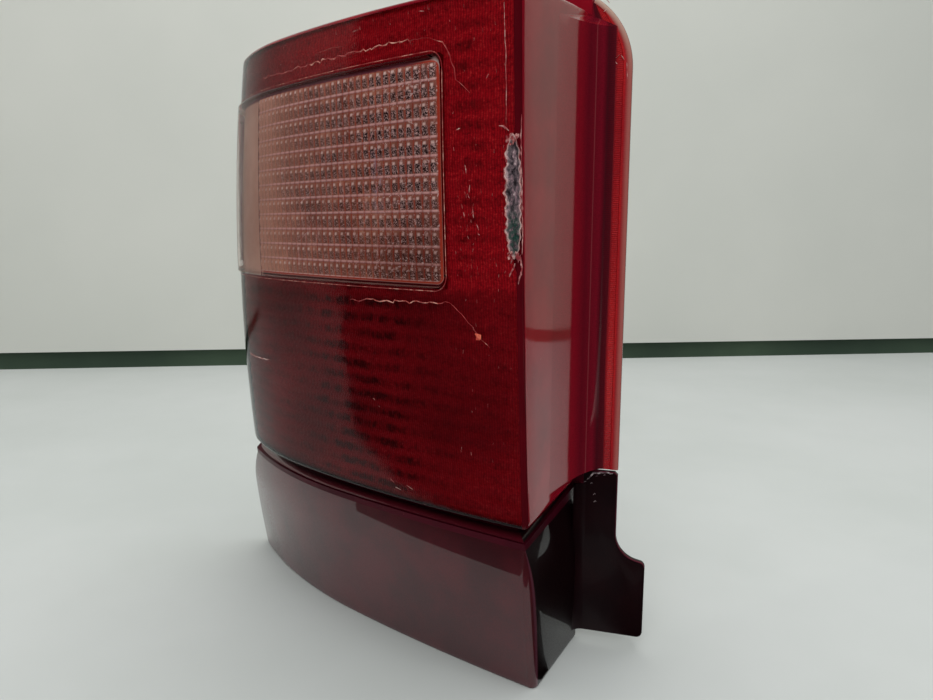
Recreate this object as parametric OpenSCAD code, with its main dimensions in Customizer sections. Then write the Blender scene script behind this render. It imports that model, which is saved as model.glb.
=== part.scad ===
// Rear corner lamp cluster for a car: a red and clear lens moulding that wraps round the
// outer corner, over a painted filler panel, with its tub, reflectors and bulb carrier.
// Millimetres. The cluster stands on the lower edge of its panel, front towards -Y.
// Shapes are laid out from the corner where the panel's front, side and lower edge meet,
// and placed() then moves that corner so that the cluster's base centre is the origin.

/* [Lens] */
// Height of the lens's lower front edge
lens_bottom = 90.4; // [84:0.2:100]
// Height of the lens's upper front edge at the inner corner
lens_top = 315.2; // [290:0.5:330]
// How much the upper front edge climbs per millimetre round the front
lens_top_climb = 0.014; // [0:0.002:0.03]
// Wall thickness of the lens moulding
lens_wall = 3; // [2:0.1:4]
// How far the lens's lower inner corner stands in front of the panel's
lens_corner_forward = 20.4; // [16:0.2:24]
// Forward lean of the inner corner line, per millimetre of height
lens_lean = 0.0964; // [0.04:0.005:0.12]
// Bow of that corner line, per square millimetre
lens_bow = 0.00014; // [0:0.00001:0.0002]
// Radius of the nearly flat stretch of the front
lens_flat_r = 621; // [500:5:800]
// Radius of the shoulder next to it
lens_shoulder_r = 194; // [150:2:240]
// Radius round the outer corner of the car
lens_corner_r = 80; // [60:1:100]
// How many degrees the front swings back from its lower to its upper edge
lens_swing = 5; // [0:0.5:7]
// How many degrees it first swings forward
lens_counter_swing = 0.9; // [0:0.1:2]
// Draft of the inner side wall, sideways per millimetre of depth
side_draft = 0.2; // [0.1:0.01:0.3]

/* [Clear window] */
// Distance of the window's inner edge from the lens's inner corner
window_start = 38; // [30:0.5:50]
// Width of red lens left behind the window on the flank
window_end_margin = 8; // [6:0.5:12]
// Height of the window's lower edge
window_bottom = 196.5; // [190:0.5:205]
// Height of the window's upper edge
window_top = 293; // [270:0.5:300]
// How far the window stands proud of the red lens
window_proud = 1.5; // [0.5:0.1:2.5]
// Corner radius of the window
window_corner_r = 5.5; // [3:0.5:8]
// Seam left between window and red lens
window_seam = 0.1; // [0.05:0.05:0.3]
// Width of one optic pillow
pillow_w = 4.5; // [3.5:0.5:8]
// Height of one optic pillow
pillow_h = 7.7; // [6:0.1:10]
// Crown of one optic pillow
pillow_crown = 0.9; // [0.4:0.1:1.4]
// Number of pillows in a row
pillow_columns = 31; // [10:1:31]
// Depth of the level flutes inside the red lens
flute_depth = 0.5; // [0.2:0.1:0.8]

/* [Lens flange] */
// Width of the flange beside the inner side wall
flange_w = 19.3; // [12:0.5:24]
// Thickness of the flange
flange_t = 3.5; // [2.5:0.1:4]
// Depth of the flange's front face behind the panel's lower corner
flange_y = 50.6; // [44:0.5:56]
// Gap between the flange's lower end and the height of the lens's lower edge
flange_lift = 8.1; // [7:0.1:10]
// Height of the flange's upper edge above the lens's upper front edge
flange_rise = 20.8; // [18:0.5:24]
// Radius of the flange's upper outer corner
flange_corner_r = 38.5; // [30:0.5:44]
// Width of the hollow curve from the side wall to the flange
hollow_w = 12; // [8:0.5:14]
// Depth of that curve
hollow_depth = 30; // [10:1:36]

/* [Filler panel] */
// Height of the panel's upper front edge at the inner corner
panel_top = 81.3; // [76:0.2:84]
// How much that edge falls per millimetre round the front
panel_top_fall = 0.019; // [0:0.001:0.03]
// Wall thickness of the panel
panel_wall = 3; // [2:0.1:4]
// Forward lean of the panel's inner corner line, per millimetre of height
panel_lean = 0.143; // [0.1:0.005:0.2]
// Radius of the panel's nearly flat stretch
panel_flat_r = 1105; // [900:5:1400]
// Radius of its shoulder
panel_shoulder_r = 315; // [260:5:400]
// Radius round its outer corner
panel_corner_r = 10; // [6:1:20]
// Rounding of the panel's upper front edge
panel_round = 4; // [2:0.5:6]
// Height of the ledge at its rear edge
ledge_rear = 90.4; // [88:0.2:91]
// Reach of the ear beyond the lens flange
ear_reach = 15.4; // [8:0.2:24]
// Height of the ear
ear_h = 43; // [30:1:55]
// Height of the ear's lower edge above the table
ear_lift = 6.5; // [4:0.5:10]
// Concave radius above the ear
ear_fillet = 14; // [8:1:20]
// Rounding of the ear's corners
ear_round = 3; // [1:0.5:5]
// Fillet between the panel's side wall and its ear
panel_fillet = 5; // [2:0.5:8]
// Thickness of the upstand along the ledge that closes the joint under the lens
upstand_t = 2.5; // [1.5:0.1:3]

/* [Tub] */
// Depth of the tub's side at the end of the flank
tub_end_depth = 3.77; // [3:0.01:16]
// Wall thickness of the tub
tub_wall = 3; // [2:0.1:4]
// Height of the tub's lower face above the lens's lower front edge
tub_lift = 4.6; // [3:0.2:7]
// Height of the tub's upper face above the lens's upper front edge
tub_rise = 8.8; // [5:0.2:12]

/* [Bulbs] */
// Distance between the two bulb columns
bulb_pitch_x = 88; // [80:0.5:96]
// Distance between the two bulb rows
bulb_pitch_z = 103; // [98:0.5:110]
// Distance of the inner bulb column from the datum corner
bulb_inset_x = 52; // [48:0.5:60]
// Height of the lower bulb row
bulb_low_z = 143; // [141:0.5:146]
// Diameter of a bulb's glass
bulb_glass_d = 25; // [20:0.5:26.5]
// Length of a bulb's glass in front of its cap
bulb_glass_len = 35.5; // [30:0.5:40]
// Diameter of a bulb's cap
bulb_cap_d = 15.2; // [14:0.1:16]
// Length of a bulb's cap
bulb_cap_len = 17; // [14:0.5:20]
// Distance of a bulb's cap front from the tub's back face
bulb_cap_setback = 3; // [2:0.5:6]

/* [Reflectors] */
// Focal length of the bowls
focus = 12.6; // [11:0.1:14]
// Radius of the lower bowls
low_bowl_r = 41.5; // [36:0.5:41.5]
// How much larger the upper bowls' radius is
bowl_step = 1; // [0.5:0.1:1]
// Wall thickness of the reflectors
reflector_wall = 2; // [1.5:0.1:2.5]
// Depth of a bowl's vertex in front of the tub's back face
vertex_setback = 7.2; // [6:0.1:10]
// Radius of the neck that lets the bulb in
neck_r = 14.2; // [13.5:0.1:14.5]

/* [Bulb carrier] */
// Thickness of the carrier plate
carrier_t = 3; // [2:0.1:4]
// Margin of the carrier plate round the bulb centres
carrier_margin = 25; // [20:0.5:27]
// Thickness of the carrier's gasket
gasket_t = 2; // [1:0.1:3]
// Wall thickness of a bulb socket
socket_wall = 2.8; // [2:0.1:3.5]
// Clearance between a bulb cap and its socket
socket_clear = 0.25; // [0.1:0.05:0.4]
// Thickness of the contact metal
contact_t = 0.8; // [0.5:0.1:1]

/* [Fixings] */
// Radius of the mounting studs
stud_r = 3; // [2.5:0.5:4]
// Length of thread that stands out of a boss
stud_len = 18; // [12:1:24]
// Sideways distance between the studs
stud_pitch_x = 171; // [168:1:176]
// Upright distance between the studs
stud_pitch_z = 188; // [184:1:192]
// Height of the lower studs
stud_low_z = 113; // [110:0.5:116]
// Length of a stud boss
boss_len = 8; // [5:0.5:12]
// Shank radius of the panel screws
screw_r = 2; // [1.5:0.1:2.5]

/* [Hidden] */
$fn = 64;
// Clearance between pieces that are put together
fit = 0.3;
// How far a cutting shape runs past what it cuts
through = 1;
overrun = 4;

// Headings, in degrees from -X towards +Y, at which the stretches of each front begin and end
lens_headings = [13.6, 27.7, 44, 80];
lens_radii = [lens_flat_r, lens_shoulder_r, lens_corner_r];
lens_curve = [lens_headings, lens_radii];
panel_headings = [17.5, 24, 45.7, 80];
panel_radii = [panel_flat_r, panel_shoulder_r, panel_corner_r];
panel_curve = [panel_headings, panel_radii];

// Inner side wall of lens and panel: sideways place at depth y
lens_side_x = 2.9;
panel_side_x = 1.2;
panel_rake = 0.03;
function lens_side(y) = lens_side_x + side_draft * y;
function panel_side(y) = panel_side_x + side_draft * y;

// Where the lens moulding meets the tub, from the flange to the end of the flank
rim_y = flange_y + flange_t;
rim_in = [lens_side(rim_y), rim_y];
flank_end = lens_pt(curve_len(lens_curve), lens_bottom, 0);
flank_run = [-1, 5];
rim_out = [flank_end[0], flank_end[1]] + flank_run;
rim_slant = atan2(rim_out[1] - rim_in[1], rim_in[0] - rim_out[0]);
rim_len = norm(rim_out - rim_in);

// Rear edge of the panel
panel_rear_in = [panel_side(rim_y), rim_y];
panel_end = panel_pt(curve_len(panel_curve), 0, 0);
panel_run = [-0.5, 3];
panel_rear_out = [panel_end[0], panel_end[1]] + panel_run;

tub_bottom = lens_bottom + tub_lift;
tub_top = lens_top + tub_rise;
back_y = rim_out[1] + tub_end_depth;
flange_edge_x = lens_side(flange_y) + flange_w;
flange_bottom = lens_bottom + flange_lift;
flange_top = lens_top + flange_rise;
ear_x = flange_edge_x + ear_reach;
flange_gap = 1.2;
panel_flange_top = flange_bottom - flange_gap;

high_bowl_r = low_bowl_r + bowl_step;

// Bulb places: x, z
bulb_x = [-bulb_inset_x, -bulb_inset_x - bulb_pitch_x];
bulb_z = [bulb_low_z, bulb_low_z + bulb_pitch_z];
cap_front_y = back_y + bulb_cap_setback;
cap_rear_y = cap_front_y + bulb_cap_len;
solder_t = 1.2;
solder_r = 2.5;
bulb_neck_step = 0.8;
bulb_neck_len = 3;
solder_y = cap_rear_y + solder_t;
plate_front_y = back_y + gasket_t;
plate_rear_y = plate_front_y + carrier_t;
socket_bore_r = bulb_cap_d / 2 + socket_clear;
socket_r = socket_bore_r + socket_wall;
socket_floor_y = solder_y + contact_t;
socket_end_y = socket_floor_y + socket_wall;
contact_hole_r = 3;
neck_lap = 0.6;
back_hole_r = neck_r + neck_lap;
collar_r = neck_r + reflector_wall;

// Carrier plate corners
carrier_x0 = bulb_x[1] - carrier_margin;
carrier_x1 = bulb_x[0] + carrier_margin;
carrier_z0 = bulb_z[0] - carrier_margin;
carrier_z1 = bulb_z[1] + carrier_margin;
carrier_mid_x = (carrier_x0 + carrier_x1) / 2;
carrier_mid_z = (carrier_z0 + carrier_z1) / 2;

// Mounting studs
stud_x = [carrier_mid_x - stud_pitch_x / 2, carrier_mid_x + stud_pitch_x / 2];
stud_z = [stud_low_z, stud_low_z + stud_pitch_z];
boss_y = back_y + boss_len;
stud_root_r = stud_r - 0.4;
boss_wall = 4.8;
boss_r = stud_r + boss_wall;
stud_collar_t = 1.6;

// Connector
connector_w = 34;
connector_h = 14;
connector_depth = 18;
connector_wall = 2;
connector_pins = 6;

// Panel screws along the panel's rear edge, as shares of its length
screw_shares = [0.12, 0.42, 0.7];
screw_boss_r = 7;
screw_boss_top = tub_bottom + tub_wall + 1;
tab_len = 18;
tab_w = 18;
tab_root = 6;
screw_head_r = 2 * screw_r;
screw_head_t = 2.4;
screw_len = 9;

// Box of the whole cluster, for the origin
box_x0 = panel_rear_out[0];
box_x1 = ear_x;
box_y0 = lens_corner(lens_top)[1];
box_y1 = max(socket_end_y, boss_y + stud_collar_t + stud_len);
module placed() translate([-(box_x0 + box_x1) / 2, -(box_y0 + box_y1) / 2, 0]) children();

// Colours
red = "#9c0f1e";
clear_pink = "#d9a7a4";
maroon = "#3d0d1f";
black_plastic = "#25262a";
silver = "#c9ccd0";
brass = "#c9a24b";
rubber = "#1b1b1d";
steel = "#a6a9ad";

// One arc of a front, as the step from heading a0 to heading a1
function turn(r, a0, a1) = r * [sin(a0) - sin(a1), cos(a0) - cos(a1)];
function arc_len(r, a0, a1) = r * (a1 - a0) * PI / 180;
function curve_len(c) =
    arc_len(c[1][0], c[0][0], c[0][1])
    + arc_len(c[1][1], c[0][1], c[0][2])
    + arc_len(c[1][2], c[0][2], c[0][3]);
function curve_pt(c, a) =
    turn(c[1][0], c[0][0], min(a, c[0][1]))
    + (a > c[0][1] ? turn(c[1][1], c[0][1], min(a, c[0][2])) : [0, 0])
    + (a > c[0][2] ? turn(c[1][2], c[0][2], a) : [0, 0]);
function heading_at(c, s, k = 0) =
    let (l = arc_len(c[1][k], c[0][k], c[0][k + 1]))
    s <= l || k == 2 ? c[0][k] + s / c[1][k] * 180 / PI : heading_at(c, s - l, k + 1);
// Distances round a front that share each arc out evenly
function stations(c, shares, k = 0, from = 0) =
    let (l = arc_len(c[1][k], c[0][k], c[0][k + 1]), n = shares[k])
    k == 2
        ? [for (i = [0:n]) from + l * i / n]
        : concat([for (i = [0:n - 1]) from + l * i / n], stations(c, shares, k + 1, from + l));
function swung(p, a) = [cos(a) * p[0] + sin(a) * p[1], -sin(a) * p[0] + cos(a) * p[1]];
function mix(a, b, t) = a + (b - a) * t;

// Lens front: the inner corner line leans and bows, and the front swings as it climbs
function lens_corner(z) =
    let (h = z - lens_bottom, y = -lens_corner_forward - lens_lean * h + lens_bow * h * h)
    [lens_side(y), y];
function lens_turn(z) =
    let (h = (z - lens_bottom) / (lens_top - lens_bottom))
    lens_swing * h * h - lens_counter_swing * h;
// Point of the lens front at distance s round it and height z, moved in by inset
function lens_pt(s, z, inset) =
    let (a = heading_at(lens_curve, s))
    let (p = curve_pt(lens_curve, a) + inset * [sin(a), cos(a)])
    let (q = swung(p, lens_turn(z)) + lens_corner(z))
    [q[0], q[1], z];
function lens_edge_top(s) = lens_top + lens_top_climb * s;

// Panel front
function panel_corner(z) = [-panel_rake * z, -panel_lean * z];
function panel_pt(s, z, inset) =
    let (a = heading_at(panel_curve, s))
    let (p = curve_pt(panel_curve, a) + inset * [sin(a), cos(a)] + panel_corner(z))
    [p[0], p[1], z];
function panel_edge_top(s) = panel_top - panel_top_fall * s;

function quad(a, b, c, d) = [[a, b, c], [a, c, d]];

// Closed block: a curved front grid, walls that run back from its edges, and a flat back
module drafted_block(front, low, high) {
    n = len(front) - 1;
    m = len(front[0]) - 1;
    f = function (i, j) i * (m + 1) + j;
    l = function (i) (n + 1) * (m + 1) + i;
    h = function (i) (n + 1) * (m + 2) + i;
    skin = [for (i = [0:n - 1]) for (j = [0:m - 1])
        each quad(f(i, j), f(i + 1, j), f(i + 1, j + 1), f(i, j + 1))];
    bottom = [for (i = [0:n - 1]) each quad(f(i + 1, 0), f(i, 0), l(i), l(i + 1))];
    top = [for (i = [0:n - 1]) each quad(f(i, m), f(i + 1, m), h(i + 1), h(i))];
    back = [for (i = [0:n - 1]) each quad(l(i + 1), l(i), h(i), h(i + 1))];
    inner_side = [for (j = [0:m - 1]) [f(0, j), f(0, j + 1), l(0)]];
    outer_side = [for (j = [0:m - 1]) [f(n, j + 1), f(n, j), l(n)]];
    ends = [[f(0, m), h(0), l(0)], [h(n), f(n, m), l(n)]];
    polyhedron(
        points = concat([for (column = front) each column], low, high),
        faces = concat(skin, bottom, top, back, inner_side, outer_side, ends),
        convexity = 6
    );
}

// Closed sheet between an outer and an inner grid
module sheet(outer, inner) {
    n = len(outer) - 1;
    m = len(outer[0]) - 1;
    o = function (i, j) i * (m + 1) + j;
    q = function (i, j) (n + 1) * (m + 1) + i * (m + 1) + j;
    skins = [for (i = [0:n - 1]) for (j = [0:m - 1]) each concat(
        quad(o(i, j), o(i + 1, j), o(i + 1, j + 1), o(i, j + 1)),
        quad(q(i, j), q(i, j + 1), q(i + 1, j + 1), q(i + 1, j))
    )];
    long_edges = [for (i = [0:n - 1]) each concat(
        quad(o(i + 1, 0), o(i, 0), q(i, 0), q(i + 1, 0)),
        quad(o(i, m), o(i + 1, m), q(i + 1, m), q(i, m))
    )];
    short_edges = [for (j = [0:m - 1]) each concat(
        quad(o(0, j), o(0, j + 1), q(0, j + 1), q(0, j)),
        quad(o(n, j + 1), o(n, j), q(n, j), q(n, j + 1))
    )];
    polyhedron(
        points = concat([for (column = outer) each column], [for (column = inner) each column]),
        faces = concat(skins, long_edges, short_edges),
        convexity = 6
    );
}

// Lens block, drawn in by inset on every side but the back, which moves out by over.
// flute draws every second row of the front in further, which leaves level optic flutes.
module lens_block(inset, over, rows, flute) {
    total = curve_len(lens_curve);
    walk = [for (s = stations(lens_curve, [8, 6, 8])) max(inset, min(total - inset, s))];
    share = [for (s = walk) s / total];
    slip = over * [sin(rim_slant), cos(rim_slant)];
    front = [for (s = walk) [for (j = [0:rows])
        let (z = mix(lens_bottom + inset, lens_edge_top(s) - inset, j / rows))
        lens_pt(s, z, inset + (j % 2 == 1 ? flute : 0))]];
    rim = [for (t = share) mix(rim_in, rim_out, t) + slip];
    low = [for (p = rim) [p[0], p[1], tub_bottom + inset]];
    high = [for (p = rim) [p[0], p[1], tub_top - inset]];
    drafted_block(front, low, high);
}

// Window outline: how far its edge draws in at distance s because of its corner radius
function window_draw(s, grow) =
    let (r = window_corner_r, d = min(s - window_start, window_last - s) + grow)
    d >= r ? 0 : r - sqrt(max(0, r * r - (r - d) * (r - d)));
window_last = curve_len(lens_curve) - window_end_margin;
window_rim = 3.2;
window_flat_from = window_start + window_rim + pillow_columns * pillow_w;
pillow_rows = floor((window_top - window_bottom - window_rim / 2) / pillow_h);
pillow_low = window_top - window_rim / 2 - pillow_rows * pillow_h;
corner_steps = [0, 0.035, 0.14, 0.31];
// Columns and rows of the window grid: cells per pillow in the optic field, plain outside it
function window_columns(cells) = concat(
    [for (k = corner_steps) window_start + k * window_corner_r],
    [window_start + window_rim],
    cells < 1 ? [window_start + window_corner_r] : [],
    [for (i = [1:cells * pillow_columns]) window_start + window_rim + i * pillow_w / cells],
    [for (i = [1:7]) mix(window_flat_from, window_last - window_corner_r, i / 7)],
    [for (i = [3:-1:0]) window_last - corner_steps[i] * window_corner_r]
);
function window_rows(cells) = concat(
    [window_bottom],
    [for (j = [0:cells * pillow_rows]) pillow_low + j * pillow_h / cells],
    [window_top]
);
// Window grid at one inset, grown by grow round its edge; crown raises each pillow's middle
function window_grid(inset, grow, crown, cells) =
    let (columns = window_columns(cells), rows = window_rows(cells), last = len(columns) - 1)
    [for (i = [0:last])
        let (s = columns[i], d = window_draw(s, grow))
        let (low = window_bottom - grow + d, high = window_top + grow - d)
        let (edge = i == 0 ? -grow : i == last ? grow : 0)
        [for (j = [0:len(rows) - 1])
            let (t = (rows[j] - window_bottom) / (window_top - window_bottom))
            let (column = i - len(corner_steps), row = j - 1)
            let (mid = column > 0 && column < cells * pillow_columns && column % 2 == 1 && row % 2 == 1)
            lens_pt(s + edge, mix(low, high, t), inset + (mid ? crown : 0))]];

// Flat plate whose front face is at depth y, outlined in x and z
module upright(y, t) translate([0, y + t, 0]) rotate([90, 0, 0]) linear_extrude(t) children();
// The same a step in front of the slanted rim, with x counted from the rim's inner end
rim_step = 0.6;
module along_rim(t) translate([rim_in[0], rim_in[1], 0]) rotate([0, 0, -rim_slant])
    upright(-t - rim_step, t) children();

module flange_outline(draw_in) {
    r = flange_corner_r - draw_in;
    centre = [flange_edge_x - flange_corner_r, flange_top - flange_corner_r];
    x0 = rim_in[0] - lens_wall / 2 + draw_in;
    intersection() {
        union() {
            translate(centre) circle(r, $fn = 96);
            translate([x0, flange_bottom + draw_in])
                square([flange_edge_x - draw_in - x0, centre[1] - flange_bottom - draw_in]);
        }
        translate([x0, flange_bottom + draw_in])
            square([flange_edge_x - draw_in - x0, flange_top - flange_bottom]);
    }
}
top_flange_len = 165;
top_flange_fall = 9;
top_flange_run_out = 8;
top_flange_crown = 1.4;
module top_flange_outline() {
    x_peak = rim_in[0] - (flange_edge_x - flange_corner_r);
    shoulder = flange_top - flange_corner_r
        + sqrt(flange_corner_r * flange_corner_r - x_peak * x_peak);
    polygon([[0, tub_top - lens_wall], [0, shoulder], [-x_peak / 2, flange_top - top_flange_crown],
        [-x_peak, flange_top], [-top_flange_len, flange_top - top_flange_fall],
        [-top_flange_len - top_flange_run_out, tub_top - lens_wall]]);
}
// Hollow curve of width w and depth d standing between a side wall and the face behind it
module hollow_curve(x, z0, z1, w, d) {
    bite = 0.3;
    curve = [for (a = [0:15:90]) [w * (1 - sin(a)) - (side_draft * d + bite) * (1 - cos(a)),
        d * (cos(a) - 1) + (a == 0 ? through : 0)]];
    translate([x, flange_y, z0]) linear_extrude(z1 - z0) polygon(concat([[-through, through]], curve));
}

module red_lens() color(red) placed() {
    difference() {
        lens_block(0, 0, 8, 0);
        lens_block(lens_wall, overrun, 2 * floor((lens_top - lens_bottom) / pillow_h), -flute_depth);
        sheet(
            window_grid(-overrun, window_seam, 0, 0.25),
            window_grid(lens_wall + overrun, window_seam, 0, 0.25)
        );
    }
    upright(flange_y, flange_t) flange_outline(0);
    along_rim(flange_t) top_flange_outline();
    hollow_curve(lens_side(flange_y), flange_bottom, lens_top, hollow_w, hollow_depth);
}

module clear_window() color(clear_pink) placed()
    sheet(window_grid(-window_proud, 0, 0, 2), window_grid(lens_wall - 1, 0, pillow_crown, 2));

// Panel block, as lens_block; sink lets the lower end run down past the table
module panel_block(inset, over, sink) {
    total = curve_len(panel_curve);
    r = max(0.5, panel_round - inset);
    walk = [for (s = stations(panel_curve, [8, 10, 4])) max(inset, min(total - inset, s))];
    slant = atan2(panel_rear_out[1] - panel_rear_in[1], panel_rear_in[0] - panel_rear_out[0]);
    slip = over * [sin(slant), cos(slant)];
    front = [for (s = walk)
        let (top = panel_edge_top(s) - inset)
        concat(
            [for (t = [0:0.25:1]) panel_pt(s, mix(-sink, top - r, t), inset)],
            [for (a = [30:30:90]) panel_pt(s, top - r + r * sin(a), inset + r * (1 - cos(a)))]
        )];
    rear = [for (s = walk) mix(panel_rear_in, panel_rear_out, s / total) + slip];
    low = [for (p = rear) [p[0], p[1], -sink]];
    high = [for (p = rear) [p[0], p[1], ledge_rear - inset]];
    drafted_block(front, low, high);
}

module ear_outline() {
    x0 = panel_rear_in[0] - panel_wall;
    clear_x = rim_in[0] + 2 * fit;
    ear_top = ear_lift + ear_h;
    r = ear_fillet;
    difference() {
        union() {
            translate([x0, ear_lift]) square([flange_edge_x - x0, ledge_rear - ear_lift]);
            translate([clear_x, ear_lift])
                square([flange_edge_x - clear_x, panel_flange_top - ear_lift]);
            rounded_rect(x0, ear_lift, ear_x, ear_top, ear_round);
            translate([flange_edge_x - ear_round, ear_top - ear_round])
                square([ear_round + 3 * r / 4, ear_round + r]);
        }
        translate([flange_edge_x + r, ear_top + r]) circle(r);
        translate([flange_edge_x + r, ear_top]) square(2 * r);
        translate([flange_edge_x, ear_top + r]) square(2 * r);
    }
}
module rounded_rect(x0, z0, x1, z1, r) {
    translate([x0, z0 + r]) square([x1 - x0, z1 - z0 - 2 * r]);
    translate([x0 + r, z0]) square([x1 - x0 - 2 * r, z1 - z0]);
    for (x = [x0 + r, x1 - r]) for (z = [z0 + r, z1 - r]) translate([x, z]) circle(r);
}

// Places of the panel screws, behind the panel's rear edge
function screw_place(k) =
    let (p = mix(panel_rear_in, panel_rear_out, screw_shares[k])) [p[0], p[1] + tab_len / 2];

// Upstand on the ledge, in front of its rear edge and clear of the lens above it
upstand_reach = 0.6;
upstand_clear = 0.9;
module ledge_upstand() {
    last = mix(panel_rear_in, panel_rear_out, upstand_reach);
    first = panel_rear_in + [panel_wall, 0];
    translate([0, -fit, ledge_rear - through])
        linear_extrude(tub_bottom - upstand_clear - ledge_rear + through)
        polygon([first, first - [0, upstand_t], last - [0, upstand_t], last, panel_rear_in]);
}

module lower_panel() color(maroon) placed() difference() {
    union() {
        difference() {
            panel_block(0, 0, 0);
            panel_block(panel_wall, overrun, overrun);
        }
        upright(flange_y, flange_t) ear_outline();
        hollow_curve(panel_side(flange_y), ear_lift, ledge_rear, panel_fillet, panel_fillet);
        ledge_upstand();
        for (k = [0:2]) translate([screw_place(k)[0] - tab_w / 2,
            screw_place(k)[1] - tab_len / 2 - tab_root, ledge_rear - panel_wall])
            cube([tab_w, tab_len + tab_root, panel_wall]);
    }
    for (k = [0:2]) translate([screw_place(k)[0], screw_place(k)[1], ledge_rear - 2 * panel_wall])
        cylinder(h = 4 * panel_wall, r = screw_r + fit);
}

// Tub plan, drawn in by inset, with its open side moved out by over; its sides are drafted
tub_draft_in = 5;
tub_draft_out = 6;
function tub_plan(inset, over) =
    let (slip = over * [sin(rim_slant), cos(rim_slant)])
    let (a = mix(rim_in, rim_out, inset / rim_len) - slip)
    let (b = mix(rim_out, rim_in, inset / rim_len) - slip)
    [a, [rim_in[0] - tub_draft_in - inset, back_y - inset],
        [rim_out[0] + tub_draft_out + inset, back_y - inset], b];

module back_cylinder(x, z, y0, y1, r) translate([x, y1, z]) rotate([90, 0, 0])
    cylinder(h = y1 - y0, r = r);

vent_place = [stud_x[0], carrier_mid_z];
nipple_r = 4;
nipple_len = 7;
vent_wall = 2;
hook_w = 14;
hook_lip = 3;
hook_t = 3;

module rear_housing() color(black_plastic) placed() difference() {
    union() {
        difference() {
            translate([0, 0, tub_bottom]) linear_extrude(tub_top - tub_bottom)
                polygon(tub_plan(0, 0));
            translate([0, 0, tub_bottom + tub_wall])
                linear_extrude(tub_top - tub_bottom - 2 * tub_wall)
                polygon(tub_plan(tub_wall, overrun));
        }
        for (x = stud_x) for (z = stud_z) back_cylinder(x, z, back_y - through, boss_y, boss_r);
        for (k = [0:2]) translate([screw_place(k)[0], screw_place(k)[1], ledge_rear])
            cylinder(h = screw_boss_top - ledge_rear, r = screw_boss_r);
        back_cylinder(vent_place[0], vent_place[1], back_y - through, back_y + nipple_len, nipple_r);
        for (z = [carrier_z0 - fit - hook_t, carrier_z1 + fit])
            translate([carrier_mid_x - hook_w / 2, back_y - through, z])
                cube([hook_w, plate_rear_y + fit + hook_t - back_y + through, hook_t]);
        for (z = [carrier_z0 - fit, carrier_z1 + fit - hook_lip])
            translate([carrier_mid_x - hook_w / 2, plate_rear_y + fit, z])
                cube([hook_w, hook_t, hook_lip]);
    }
    for (x = bulb_x) for (z = bulb_z)
        back_cylinder(x, z, back_y - tub_wall - through, back_y + through, back_hole_r);
    for (x = stud_x) for (z = stud_z)
        back_cylinder(x, z, back_y + through, boss_y + through, stud_root_r + fit / 2);
    for (k = [0:2]) translate([screw_place(k)[0], screw_place(k)[1], ledge_rear - through])
        cylinder(h = screw_len, r = screw_r + fit / 2);
    back_cylinder(vent_place[0], vent_place[1], back_y - tub_wall - through,
        back_y + nipple_len + through, nipple_r / 2);
}

// Parabola of a bowl: radius at distance d in front of the vertex
function bowl_r(d) = sqrt(4 * focus * d);
module bowl(x, z, r) {
    d0 = neck_r * neck_r / (4 * focus);
    d1 = r * r / (4 * focus);
    steps = 10;
    inner = [for (k = [0:steps]) let (d = mix(d0, d1, k / steps)) [bowl_r(d), d]];
    outer = [for (k = [steps:-1:0]) let (d = mix(d0, d1, k / steps))
        [bowl_r(d) + reflector_wall, d]];
    seat = [[collar_r, tub_wall - vertex_setback], [neck_r, tub_wall - vertex_setback]];
    translate([x, back_y - vertex_setback, z]) rotate([90, 0, 0])
        rotate_extrude($fn = 96) polygon(concat(inner, outer, seat));
}
// Plate in front of two bowls, and the bowls let into it
plate_edge = 1;
module reflector(z, r, plate_z0, plate_z1) {
    face_y = back_y - vertex_setback - r * r / (4 * focus);
    difference() {
        translate([bulb_x[1] - r - reflector_wall - plate_edge, face_y, plate_z0])
            cube([bulb_pitch_x + 2 * (r + reflector_wall + plate_edge), reflector_wall,
                plate_z1 - plate_z0]);
        for (x = bulb_x) back_cylinder(x, z, face_y - through, face_y + reflector_wall + through,
            r + 0.6 * reflector_wall);
    }
    for (x = bulb_x) bowl(x, z, r);
}
divider_drop = 6;
divider_z = window_bottom - divider_drop;
reflector_margin = 12;
shelf_clear = 2;
module upper_reflector() color(silver) placed() {
    face_y = back_y - vertex_setback - high_bowl_r * high_bowl_r / (4 * focus);
    reflector(bulb_z[1], high_bowl_r, divider_z, tub_top - tub_wall - reflector_margin);
    // Shelf that parts the clear chamber from the red one, following the lens
    gap = lens_wall + shelf_clear;
    shelf_from = 8;
    shelf_to = 200;
    steps = 20;
    spare = 20;
    x0 = bulb_x[1] - high_bowl_r - reflector_wall - plate_edge;
    x1 = bulb_x[0] + high_bowl_r + reflector_wall + plate_edge;
    y1 = face_y + reflector_wall;
    translate([0, 0, divider_z]) linear_extrude(reflector_wall) intersection() {
        polygon(concat(
            [for (k = [0:steps]) let (s = mix(shelf_from, shelf_to, k / steps))
                let (p = lens_pt(s, divider_z, gap)) [p[0], p[1]]],
            [[x0 - spare, y1], [x1 + spare, y1]]
        ));
        translate([x0, box_y0]) square([x1 - x0, y1 - box_y0]);
    }
}
module lower_reflector() color(silver) placed()
    reflector(bulb_z[0], low_bowl_r, screw_boss_top + fit, divider_z - fit);

// Foam strip behind the flange, held clear of the tub's side; its tail backs the joint with the panel
module body_gasket() color(rubber) placed() {
    strip_t = 4;
    draw_in = 2.5;
    tail = 1;
    upright(rim_y, strip_t) difference() {
        union() {
            flange_outline(draw_in);
            translate([rim_in[0], flange_bottom - tail])
                square([flange_edge_x - draw_in - rim_in[0], tail + 3 * draw_in]);
        }
        translate([rim_in[0] - lens_wall, 0]) square([lens_wall + 2, 2 * flange_top]);
    }
}

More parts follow.
